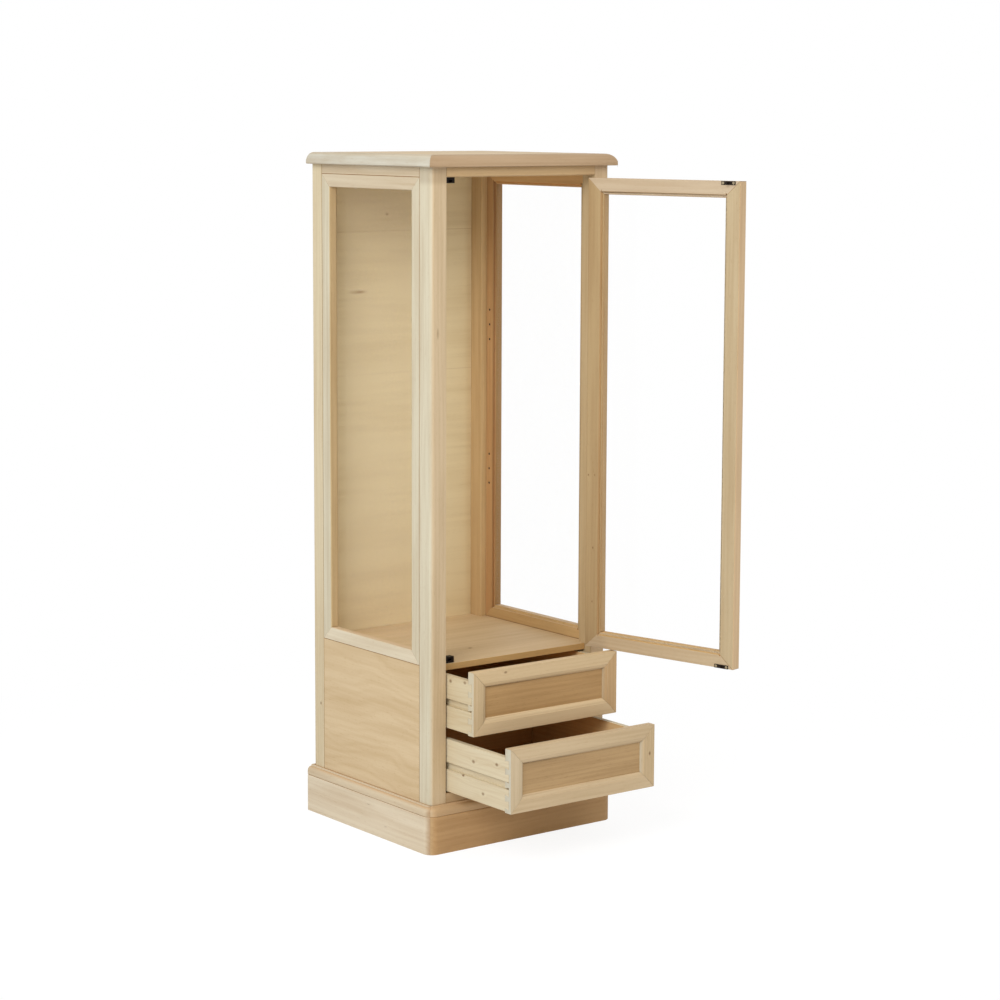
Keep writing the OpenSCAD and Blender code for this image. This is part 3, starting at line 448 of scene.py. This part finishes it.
def eased_board(node, name, free, seam, materials):
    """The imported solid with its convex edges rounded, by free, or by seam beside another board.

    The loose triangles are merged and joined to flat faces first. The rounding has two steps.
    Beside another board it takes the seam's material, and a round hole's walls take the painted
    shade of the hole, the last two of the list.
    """
    mesh = frame["nodes"][node].data.copy()
    mesh.name = name
    form = bmesh.new()
    form.from_mesh(mesh)
    bmesh.ops.remove_doubles(form, verts=form.verts, dist=WELD)
    bmesh.ops.dissolve_limit(form, angle_limit=FLAT, verts=form.verts, edges=form.edges)
    bores = bore_faces(form)
    for face in form.faces:
        face.material_index = len(materials) - 1 if face in bores else 0
    share = form.edges.layers.float.new("bevel_weight_edge")
    sharp = [e for e in form.edges if len(e.link_faces) == 2 and e.is_convex
             and e.calc_face_angle(0) > ARRIS and not bores.intersection(e.link_faces)]
    joined = touching(node, [(e.verts[0].co + e.verts[1].co) / 2 for e in sharp], JOINT_GAP)
    for edge, beside in zip(sharp, joined):
        width = free if not beside else seam * MITRE_SHARE if closed_tight(edge, node) else seam
        edge[share] = width / max(seam, free)
    mesh.materials.clear()
    for material in materials:
        mesh.materials.append(material)
    form.to_mesh(mesh)
    form.free()
    board = bpy.data.objects.new(name, mesh)
    bpy.context.scene.collection.objects.link(board)
    ease = board.modifiers.new("eased_edges", "BEVEL")
    ease.limit_method = "WEIGHT"
    ease.width, ease.segments, ease.use_clamp_overlap = max(seam, free), 2, False
    ease.material = len(materials) - 2
    eased = board.evaluated_get(bpy.context.evaluated_depsgraph_get())
    board.data = bpy.data.meshes.new_from_object(eased)
    board.modifiers.clear()
    board.data.name = name
    settle_materials(board.data, node, len(materials))
    board.data.polygons.foreach_set("use_smooth", np.ones(len(board.data.polygons), bool))
    board.data.set_sharp_from_angle(angle=CREASE)
    weigh = board.modifiers.new("even_shading", "WEIGHTED_NORMAL")
    weigh.keep_sharp = True
    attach(board, BODY_OF[node])
    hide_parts(node)
    return board


def settle_materials(mesh, node, count):
    """Keeps the seam's look only beside another board, and gives upright members their own wood.

    count is how many materials the board has: three, or five where it has upright members.
    """
    form = bmesh.new()
    form.from_mesh(mesh)
    rounded = [f for f in form.faces if f.material_index == count - 2]
    middles = [f.calc_center_median() for f in rounded]
    for face, beside in zip(rounded, touching(node, middles, SEAM_REACH)):
        if not beside:
            face.material_index = 0
    if count > 3:
        lengthwise(form)
    form.to_mesh(mesh)
    form.free()


def lengthwise(form):
    """Gives each member of a drawer front the wood with its grain: rails, left and right."""
    rest = set(form.faces)
    while rest:
        member, waiting = set(), [rest.pop()]
        while waiting:
            face = waiting.pop()
            member.add(face)
            for edge in face.edges:
                for other in edge.link_faces:
                    if other in rest:
                        rest.discard(other)
                        waiting.append(other)
        points = np.array([v.co for f in member for v in f.verts])
        size = points.max(0) - points.min(0)
        if size[2] > size[0]:
            for face in member:
                if face.material_index == 0:
                    face.material_index = 1 if points[:, 0].mean() < 0 else 2


def palette():
    """The colours of the scene's property group, as linear triples by name."""
    group = bpy.context.scene.case_colours
    return {key: tuple(getattr(group, key)) for key in CaseColours.__annotations__}


# The round holes' near-black is painted shade inside the hole.
def seam_and_hole_shade():
    """The materials of seams and round holes, made at their first use."""
    p = palette()
    looks = (
        # A glued seam, cleaned off and sanded over: a thin brown line of glue and dust.
        ("glued_seam_dusty", p["seam"]),
        # Wood bored with a dowel drill, nearly black: painted shade inside the hole.
        ("bored_wood_scorched", p["bore"]),
    )
    return [bpy.data.materials.get(name) or shaded_wood(name, colour) for name, colour in looks]


def tint(colour, by):
    """A colour with each channel multiplied by its share."""
    return tuple(min(1.0, c * b) for c, b in zip(colour, by))


def wood_for(node, kind, grain, seed, tone, knots, lines, painted_light_and_shade, suffix=""):
    """The wood of one board: its kind, the way its grain runs, its seed and its own tone."""
    p = palette()
    looks = {
        "beech": (BEECH, "beech_sanded", p["beech_front"], p["beech_side"], p["beech_figure"]),
        "banded": (BANDED, "beech_banded_sanded", p["beech_front"], p["beech_side"],
                   p["beech_figure"]),
        "fir": (FIR, "fir_planed", p["fir"], p["fir"], p["fir_figure"]),
        "veneer": (VENEER, "beech_veneer_sanded", p["veneer"], p["veneer"], p["veneer_figure"]),
        "inset": (INSET, "beech_veneer_streaked", p["panel"], p["panel"], p["panel_figure"]),
        "plywood": (PLYWOOD, "plywood_rotary_cut", p["plywood"], p["plywood"], p["plywood_figure"]),
    }
    habit, label, light, side, figure = looks[kind]
    # A rotary-cut face shows a knot's side, which is paler.
    heart = tint(p["knot"], (1.9, 1.5, 1.2)) if kind == "plywood" else p["knot"]
    colours = (tint(light, tone), tint(side, tone), tint(figure, tone), heart)
    turn = -DOOR_ANGLE if BODY_OF[node] == "door" else 0.0
    name = f"{label}{suffix}-{node}"
    return raw_wood(name, habit, colours, grain, seed, turn, knots, lines, painted_light_and_shade)


# Upright members draw their own grain, from the seeds that follow their board's seed by this much.
UPRIGHT_SEED = 500


def dress(node, kind, grain, seed, tone=(1, 1, 1), knots=(), lines=(), painted_light_and_shade=(), across=None,
          joint=1.0):
    """Makes the eased board of one wooden node in a wood of its own.

    across is the grain and the tones of the left and right members that run the other way, where a
    node has both, and joint is the share of the seam's width that its joints get.
    """
    sizes = bpy.context.scene.case_sizes
    free = sizes.door_arris if BODY_OF[node] == "door" else sizes.arris
    materials = [wood_for(node, kind, grain, seed, tone, knots, lines, painted_light_and_shade)]
    if across:
        way, *tones = across
        for i, upright in enumerate(tones):
            own_seed = seed + UPRIGHT_SEED + i
            materials.append(
                wood_for(node, kind, way, own_seed, upright, knots, lines, painted_light_and_shade, f"_upright{i}"))
    materials += seam_and_hole_shade()
    return eased_board(node, f"{node}_eased", free, sizes.seam * joint, materials)


def finish_node(node, material):
    """Gives a carried-over CAD node its material."""
    piece = frame["nodes"][node]
    for place in piece.material_slots:
        place.material = material


# ---------------------------------------------------------------- operators

class CASE_OT_top(bpy.types.Operator):
    """Dresses the veneered top and the rounded mouldings round it"""
    bl_idname = "case.top"
    bl_label = "Top"

    def execute(self, context):
        dress("top_panel", "veneer", "X", 11)
        marks = [((121.4, -224, 1381), 1.3, 2.5, 0.5), ((163.5, -224, 1380), 1.2, 2.5, 0.45)]
        dress("top_edge_front", "beech", "X", 12, (0.70, 0.67, 0.64), marks)
        # Painted shade on the left moulding's faces that turn down and to the left: darker and warmer.
        dress("top_edge_left", "banded", "Y", 13, (0.97, 1.17, 1.42),
              painted_light_and_shade=[((-1, 0, -0.7), (0.86, 0.78, 0.71))])
        dress("top_edge_right", "banded", "Y", 14, (0.96, 1.03, 1.12))
        return {"FINISHED"}


class CASE_OT_posts(bpy.types.Operator):
    """Dresses the four corner posts"""
    bl_idname = "case.posts"
    bl_label = "Corner posts"

    def execute(self, context):
        # The band at 1358 mm on the front left post is a painted shadow under the top's moulding. The
        # case, and beside the door on the front right post.
        # tints by the way faces point are painted light and shade: mostly darker and warmer inside the
        dress("post_front_left", "beech", "Z", 21, (0.89, 0.94, 0.94),
              [((-208.8, -213, 1050.3), 2.4, 4.5, 0.4)], [("Z", 1358, 14, 0.24)])
        dress("post_front_right", "beech", "Z", 22, (0.88, 0.88, 0.84),
              painted_light_and_shade=[((-1, 0.4, 0), (0.85, 0.75, 0.6))])
        dress("post_rear_left", "beech", "Z", 23, (0.91, 0.90, 0.81),
              [((-225, 185.4, 237.5), 2.4, 1.4, 0.85)], painted_light_and_shade=[((1, -1.2, 0), (0.90, 0.98, 0.90))])
        dress("post_rear_right", "beech", "Z", 24, (0.94, 0.94, 0.9),
              painted_light_and_shade=[((-1, 0, 0), (0.83, 0.66, 0.46)), ((0, -1, 0), (1.03, 1.0, 0.82))])
        return {"FINISHED"}


class CASE_OT_rails(bpy.types.Operator):
    """Dresses the rails that join the posts"""
    bl_idname = "case.rails"
    bl_label = "Rails"

    def execute(self, context):
        dress("front_top_rail", "beech", "X", 31, (0.85, 0.81, 0.68))
        dress("front_bottom_rail", "beech", "X", 32, (0.74, 0.7, 0.6))
        # The band at 1366 mm on the side rails is a painted shadow under the top's moulding.
        dress("side_top_rails", "beech", "Y", 33, (0.91, 0.91, 0.88), lines=[("Z", 1366, 6, 0.16)])
        dress("back_rails", "fir", "X", 34, (0.96, 0.94, 0.92))
        return {"FINISHED"}


class CASE_OT_side_frames(bpy.types.Operator):
    """Dresses the glazed frames at both sides"""
    bl_idname = "case.side_frames"
    bl_label = "Side frames"

    def execute(self, context):
        # Painted shade: the right frame's inner faces, its faces that look to the front and those that
        # point down are darker and warmer, and so are the left frame's faces that look to the front.
        right_shade_by_part = {"front_stile": (0.70, 0.58, 0.43), "rear_stile": (0.84, 0.54, 0.32),
                 "top_rail": (1.12, 0.83, 0.52), "bottom_rail": (0.88, 0.69, 0.44)}
        for i, (part, warm) in enumerate(right_shade_by_part.items()):
            grain = "Z" if "stile" in part else "Y"
            tone = (0.88, 0.93, 0.93) if "stile" in part else (0.87, 0.86, 0.83)
            near = tint(tone, (1.12, 1.2, 1.26)) if part == "bottom_rail" else tone
            dress(f"left_frame_{part}", "beech", grain, 41 + i, near,
                  painted_light_and_shade=[((0, -1, 0), (0.89, 0.82, 0.67))])
            right_frame_shade = [((-1, 0, 0), warm), ((0, -1, 0), (0.62, 0.46, 0.28)),
                   ((0, 0, -1), (0.85, 0.54, 0.26))]
            dress(f"right_frame_{part}", "beech", grain, 51 + i, tone, painted_light_and_shade=right_frame_shade)
        return {"FINISHED"}


class CASE_OT_panels(bpy.types.Operator):
    """Dresses the lower side panels, the back panel and the deck with its bearers"""
    bl_idname = "case.panels"
    bl_label = "Panels"

    def execute(self, context):
        left = [((-219, 159.4, 373.7), 3.6, 1.3, 0.75), ((-219, -121.1, 131.7), 1.8, 3.5, 0.5)]
        dress("side_panel_left", "veneer", "Y", 61, (0.93, 0.92, 0.90), left)
        dress("side_panel_right", "veneer", "Y", 62, (0.93, 0.92, 0.90))
        dots = [((-109.8, 209, 1104.8), 4.0, 5.4, 0.42), ((-106, 209, 1104.8), 2.2, 3.4, 0.4),
                ((-35.7, 209, 1267.7), 2.6, 1.2, 0.7)]
        bands = [("Z", 1232.4, 0.8, 0.25), ("Z", 928.7, 0.8, 0.16)]
        # The back panel's faces that point to the back are darker and warmer: painted shade.
        dress("back_panel", "plywood", "X", 63, (1.16, 1.22, 1.26), dots, bands,
              painted_light_and_shade=[((0, 1, 0), (0.94, 0.84, 0.74))])
        # The deck's faces that look to the front are darker and warmer: painted shade.
        dress("deck", "beech", "X", 64, (0.93, 0.95, 0.88),
              [((-37.8, -92.2, 379.8), 4.0, 1.3, 1.0)], painted_light_and_shade=[((0, -1, 0), (0.95, 0.8, 0.53))])
        dress("deck_bearers", "fir", "Y", 65, (0.95, 0.93, 0.9))
        return {"FINISHED"}


class CASE_OT_base(bpy.types.Operator):
    """Dresses the base mouldings, the plinth boards and the blocks behind them"""
    bl_idname = "case.base"
    bl_label = "Base"

    def execute(self, context):
        dress("base_moulding_front", "beech", "X", 71, (0.84, 0.78, 0.68))
        # Painted shade: the side boards' faces that look to the front are darker and warmer round the corner.
        front_face_shade = [((0, -1, 0), (0.70, 0.59, 0.50))]
        dress("base_moulding_left", "beech", "Y", 72, (0.87, 0.83, 0.77), painted_light_and_shade=front_face_shade)
        dress("base_moulding_right", "beech", "Y", 73, (0.87, 0.83, 0.77), painted_light_and_shade=front_face_shade)
        # The plinth front's dark, warm tone is partly the wood's own and partly a painted shadow of the drawers
        # above.
        dress("plinth_front", "beech", "X", 74, (0.77, 0.65, 0.48))
        marks = [((-238.5, -10.8, 61.4), 1.2, 5, 0.35), ((-238.5, -72.9, 27.8), 1.2, 5, 0.3)]
        dress("plinth_left", "beech", "Y", 75, (0.97, 0.97, 0.97), marks, painted_light_and_shade=front_face_shade)
        dress("plinth_right", "beech", "Y", 76, (0.97, 0.97, 0.97), painted_light_and_shade=front_face_shade)
        dress("plinth_back", "fir", "X", 77, (0.95, 0.93, 0.9))
        dress("plinth_blocks", "fir", "Z", 78, (0.95, 0.93, 0.9))
        return {"FINISHED"}


class CASE_OT_drawers(bpy.types.Operator):
    """Dresses both drawers and the runners that carry them"""
    bl_idname = "case.drawers"
    bl_label = "Drawers"

    def execute(self, context):
        knots = {
            "upper_front_frame": [((-104.6, -301, 373.3), 2.6, 1.5, 0.7)],
            "lower_front_frame": [((172, -423, 191.2), 2.6, 1.5, 0.8)],
            "upper_side_left": [((-184.5, -223.6, 352.1), 3.6, 1.3, 0.8),
                                ((-184.5, -271.6, 356.9), 3.2, 1.4, 0.7)],
            "lower_side_left": [((-184.5, -266.6, 168.2), 3.4, 1.2, 1.0),
                                ((-184.5, -300.9, 202.5), 3.6, 1.4, 0.75),
                                ((-184.5, -377.2, 211.8), 3.4, 1.4, 0.8),
                                ((-184.5, -332.9, 143.3), 3.2, 1.4, 0.7)],
            "lower_side_right": [((168, -300, 205), 3.2, 1.4, 0.8)],
        }
        # Per drawer: rails, left upright, right upright, sunk panel and box. The right upright's darker,
        # warmer tone is painted shade, where the light falls off towards the door.
        tones = {
            "upper": ((0.97, 1.0, 0.93), (0.93, 0.97, 0.92), (0.86, 0.79, 0.64),
                      (1.02, 0.97, 0.88), (0.79, 0.82, 0.88)),
            "lower": ((0.89, 0.93, 0.91), (0.90, 0.98, 1.01), (0.88, 0.91, 0.86),
                      (1.01, 1.03, 1.07), (0.83, 0.88, 0.99)),
        }
        # Painted shade inside the drawers: the faces that point in are darker and warmer. The right
        # left are a little darker and greyer, as painted shade.
        # side's inner face gets painted light, warmer and brighter, and the fronts' faces that look to the
        drawer_inside_shade = (0.92, 0.65, 0.38)
        right_wall_painted_light = (1.2, 0.97, 0.70)
        left_end_shade = ((-1, 0, 0), (0.9, 0.9, 0.93))
        for i, (drawer, (rails, left, right, panel, box)) in enumerate(tones.items()):
            front = f"{drawer}_front_frame"
            dress(front, "beech", "X", 81 + 20 * i, rails, knots[front],
                  painted_light_and_shade=[((0, 1, 0), drawer_inside_shade), left_end_shade], across=("Z", left, right), joint=0.3)
            dress(f"{drawer}_front_panel", "inset", "X", 82 + 20 * i, panel)
            for j, (side, way, shade) in enumerate((("left", 1, drawer_inside_shade), ("right", -1, right_wall_painted_light))):
                board = f"{drawer}_side_{side}"
                dress(board, "fir", "Y", 83 + j + 20 * i, box, knots.get(board, ()),
                      painted_light_and_shade=[((way, 0, 0), shade)], joint=0.3)
            dress(f"{drawer}_back", "fir", "X", 85 + 20 * i, box, painted_light_and_shade=[((0, -1, 0), drawer_inside_shade)])
            dress(f"{drawer}_bottom", "plywood", "X", 86 + 20 * i, painted_light_and_shade=[((0, 0, 1), drawer_inside_shade)])
        dress("drawer_runners", "fir", "Y", 95, (0.9, 0.86, 0.8))
        return {"FINISHED"}


class CASE_OT_door(bpy.types.Operator):
    """Dresses the four mitred members of the door"""
    bl_idname = "case.door"
    bl_label = "Door"

    def execute(self, context):
        corner = square_box("door_hinge_stile")[1] * 1000
        spots = ((6, 742, 1.8, 0.75), (22, 743, 1.5, 0.6), (19, 591, 2.0, 0.8), (18, 478, 1.5, 0.7))
        knots = [((corner[0] - s, corner[1], z), r, 1.3, d) for s, z, r, d in spots]
        # Painted shade on the door: its inside faces darker and warmer, the hinge stile's edge darker,
        # the faces that point down under the top rail as the glass rebate's shadow, and the bottom rail's
        # upward faces darker and warmer. The free stile's edge gets painted light, brighter.
        inside = Matrix.Rotation(DOOR_ANGLE, 3, "Z") @ Vector((0, 1, 0))
        edge = Matrix.Rotation(DOOR_ANGLE, 3, "Z") @ Vector((-1, 0, 0))
        outer = (0.9, 0.92, 0.92)
        under = ((0, 0, -1), (0.6, 0.45, 0.26))
        dress("door_hinge_stile", "beech", "Z", 121, outer, knots,
              painted_light_and_shade=[(inside, (0.70, 0.56, 0.38)), (edge, (0.86, 0.76, 0.60))])
        dress("door_free_stile", "beech", "Z", 122, outer,
              painted_light_and_shade=[(inside, (0.81, 0.72, 0.58)), (edge, (1.12, 1.08, 1.02))])
        dress("door_top_rail", "beech", "X", 123, outer, painted_light_and_shade=[(inside, (0.87, 0.78, 0.71)), under])
        dress("door_bottom_rail", "beech", "X", 124, outer,
              painted_light_and_shade=[(inside, (0.86, 0.75, 0.63)), ((0, 0, 1), (0.95, 0.80, 0.52))])
        return {"FINISHED"}


class CASE_OT_glass(bpy.types.Operator):
    """Gives the three panes their clear float glass"""
    bl_idname = "case.glass"
    bl_label = "Glass"

    def execute(self, context):
        # Float glass, washed: clear and level, with the room's white at its edges and where it is
        # aslant.
        glass = float_glass("float_glass_clear", palette()["glass"])
        for node in ("left_glass", "right_glass", "door_glass"):
            finish_node(node, glass)
        return {"FINISHED"}


class CASE_OT_fittings(bpy.types.Operator):
    """Gives hinges, screws, catches and strikes their metals"""
    bl_idname = "case.fittings"
    bl_label = "Fittings"

    def execute(self, context):
        p = palette()
        # The grits are drawn coarser than the real 0.1 to 0.3 mm, because those would not show.
        # Brass, drawn and tumbled: warm, with a soft gloss and darker patches.
        brass = metal("brass_tumbled", p["brass"], 1.0, 0.34, 1.2, 0.25)
        # Steel, stamped and yellow-plated: pale gold, with small bright grains.
        steel = metal("steel_yellow_plated", p["steel"], 1.0, 0.36, 0.9, 0.3)
        # Steel, stamped and lacquered dark: nearly black, with a faint brown and a grainy sheen.
        lacquer = metal("steel_dark_lacquered", p["lacquer"], 0.0, 0.5, 1.6, 0.5, 0.3, 0.18)
        for node in ("hinge_case_leaves", "hinge_door_leaves", "hinge_pins"):
            finish_node(node, brass)
        for node in ("case_screws", "door_screws"):
            finish_node(node, steel)
        for node in ("catches", "catch_strikes"):
            finish_node(node, lacquer)
        return {"FINISHED"}


class CASE_OT_stage(bpy.types.Operator):
    """Sets the pale floor, the studio light and the camera at the photograph's angle"""
    bl_idname = "case.stage"
    bl_label = "Stage"

    def execute(self, context):
        pale_floor()
        studio_light()
        photo_camera()
        return {"FINISHED"}


# ---------------------------------------------------------------- stage

WHITE = (*linear("FFFFFF"), 1)
# Half the side of the floor, far enough for its edge to lie in the backdrop's white.
FLOOR_HALF = 40.0
# The floor's shadow fades between these distances from the middle of the case.
SHADOW_REACH = (0.45, 1.6)
# How strongly the floor glows where it shows a shadow, and the share of that glow in it.
FLOOR_GLOW = 1.1
GLOW_SHARE = 0.8
# Half the width and half the depth of the floor inside the plinth.
PLINTH_HALF = (0.235, 0.21)
# How bright the even surround is as light, where the backdrop that is seen has 1.
SURROUND = 0.55


def pale_floor():
    """A flat square floor that keeps the object's shadow near it and fades to the backdrop's white.

    Its corners are (a, b, 0) with a and b each FLOOR_HALF to one side. Inside the plinth it is
    plain matt, so that no white shows through the gap behind the plinth's back board.
    """
    corners = np.array([(-1, -1, 0), (1, -1, 0), (1, 1, 0), (-1, 1, 0)]) * FLOOR_HALF
    mesh = bpy.data.meshes.new("floor")
    mesh.from_pydata(corners.tolist(), [], [(0, 1, 2, 3)])
    floor = bpy.data.objects.new("floor", mesh)
    bpy.context.scene.collection.objects.link(floor)
    # Card, matt and off-white: it takes a soft shadow and goes over to the backdrop without an
    # edge.
    material = bpy.data.materials.new("studio_floor_matt")
    material.use_nodes = True
    tree = material.node_tree
    tree.nodes.clear()
    place = add(tree, "TexCoord", out="Object")
    far = add(tree, "VectorMath", {0: place}, out="Value", operation="LENGTH")
    far = add(tree, "MapRange", {0: far, 1: SHADOW_REACH[0], 2: SHADOW_REACH[1]},
              interpolation_type="SMOOTHSTEP")
    matt = add(tree, "BsdfDiffuse", {"Color": (*linear("EFEFEF"), 1)})
    glow = add(tree, "Emission", {"Color": WHITE, "Strength": FLOOR_GLOW})
    near = add(tree, "MixShader", {0: GLOW_SHARE, 1: matt, 2: glow})
    white = add(tree, "Emission", {"Color": WHITE, "Strength": 1.0})
    seen = add(tree, "MixShader", {0: far, 1: near, 2: white})
    inverse = [1 / half for half in PLINTH_HALF]
    under = add(tree, "VectorMath", {0: place, 1: (*inverse, 0)}, operation="MULTIPLY")
    under = add(tree, "VectorMath", {0: under}, operation="ABSOLUTE")
    under = add(tree, "SeparateXYZ", {0: under}, out="X")
    under = add(tree, "Math", {0: under, 1: under.node.outputs["Y"]}, operation="MAXIMUM")
    under = add(tree, "Math", {0: under, 1: 1.0}, operation="LESS_THAN")
    seen = add(tree, "MixShader", {0: under, 1: seen, 2: matt})
    out = add(tree, "MixShader", {0: shown(tree), 1: matt, 2: seen})
    add(tree, "OutputMaterial", {"Surface": out})
    mesh.materials.append(material)


def shown(tree):
    """1 for rays that show the stage: from the camera, from a gloss or through glass."""
    path = add(tree, "LightPath", out="Is Camera Ray")
    seen = add(tree, "Math", {0: path, 1: path.node.outputs["Is Glossy Ray"]}, operation="MAXIMUM")
    through = path.node.outputs["Is Transmission Ray"]
    return add(tree, "Math", {0: seen, 1: through}, operation="MAXIMUM")


def studio_light():
    """One large soft box to the left, a weak one in front to the right, and an even surround."""
    world = bpy.data.worlds.new("studio")
    bpy.context.scene.world = world
    world.use_nodes = True
    tree = world.node_tree
    tree.nodes.clear()
    even = add(tree, "Background", {"Color": WHITE, "Strength": SURROUND})
    white = add(tree, "Background", {"Color": WHITE, "Strength": 1.0})
    both = add(tree, "MixShader", {0: shown(tree), 1: even, 2: white})
    add(tree, "OutputWorld", {"Surface": both})
    aim = Vector((0, 0, 0.7))
    boxes = (("key", (-3.6, -2.0, 3.2), 2.6, 138), ("fill", (0.8, -3.8, 3.9), 2.4, 34))
    for name, place, side, watts in boxes:
        lamp = bpy.data.lights.new(name, "AREA")
        lamp.shape, lamp.size, lamp.energy = "SQUARE", side, watts
        rig = bpy.data.objects.new(name, lamp)
        bpy.context.scene.collection.objects.link(rig)
        rig.location = place
        rig.rotation_euler = (aim - Vector(place)).to_track_quat("-Z", "Y").to_euler()


def photo_camera():
    """The camera fitted to the photograph's edges.

    back, the way from the target to the camera, comes from yaw and pitch, right lies level across
    it and up is square to both. roll then turns right and up about back. The lens's axis meets the
    photograph axis_px above its middle.
    """
    yaw, pitch, roll = (math.radians(a) for a in (-37.404, 7.348, 0.226))
    reach, focal_px, axis_px, photo_px, sensor_mm = 5.54213, 2616.10, 50, 1000, 36
    target = Vector((0.10905, 0, 0.77358))
    level = math.cos(pitch)
    back = Vector((math.sin(yaw) * level, -math.cos(yaw) * level, math.sin(pitch)))
    right = Vector((math.cos(yaw), math.sin(yaw), 0))
    up = back.cross(right)
    across = right * math.cos(roll) + up * math.sin(roll)
    upward = up * math.cos(roll) - right * math.sin(roll)
    view = bpy.data.cameras.new("photo_camera")
    view.sensor_width = sensor_mm
    view.lens = sensor_mm * focal_px / photo_px
    view.shift_y = -axis_px / photo_px
    camera = bpy.data.objects.new("photo_camera", view)
    bpy.context.scene.collection.objects.link(camera)
    camera.matrix_world = Matrix((across, upward, back)).transposed().to_4x4()
    camera.location = target + back * reach
    view.clip_start, view.clip_end = 0.1, 100
    bpy.context.scene.camera = camera
    bpy.context.scene.view_settings.view_transform = "Standard"


# ---------------------------------------------------------------- add-on

OPERATORS = (CASE_OT_top, CASE_OT_posts, CASE_OT_rails, CASE_OT_side_frames, CASE_OT_panels,
             CASE_OT_base, CASE_OT_drawers, CASE_OT_door, CASE_OT_glass, CASE_OT_fittings,
             CASE_OT_stage)


class CASE_PT_display_case(bpy.types.Panel):
    """Lists the sizes, the colours and the pieces of the display case"""
    bl_idname = "CASE_PT_display_case"
    bl_label = "Display Case"
    bl_space_type = "VIEW_3D"
    bl_region_type = "UI"
    bl_category = "Display Case"

    def draw(self, context):
        scene = context.scene
        for group, kind in ((scene.case_sizes, CaseSizes), (scene.case_colours, CaseColours)):
            for key in kind.__annotations__:
                self.layout.prop(group, key)
        for operator in OPERATORS:
            self.layout.operator(operator.bl_idname)


CLASSES = (CaseSizes, CaseColours, *OPERATORS, CASE_PT_display_case)


def register():
    for cls in CLASSES:
        bpy.utils.register_class(cls)
    bpy.types.Scene.case_sizes = bpy.props.PointerProperty(type=CaseSizes)
    bpy.types.Scene.case_colours = bpy.props.PointerProperty(type=CaseColours)


def unregister():
    del bpy.types.Scene.case_colours
    del bpy.types.Scene.case_sizes
    for cls in reversed(CLASSES):
        bpy.utils.unregister_class(cls)


def main():
    """Makes every piece and the stage."""
    register()
    for operator in OPERATORS:
        group, name = operator.bl_idname.split(".")
        getattr(getattr(bpy.ops, group), name)()
    bpy.context.view_layer.update()


if __name__ == "__main__":
    main()
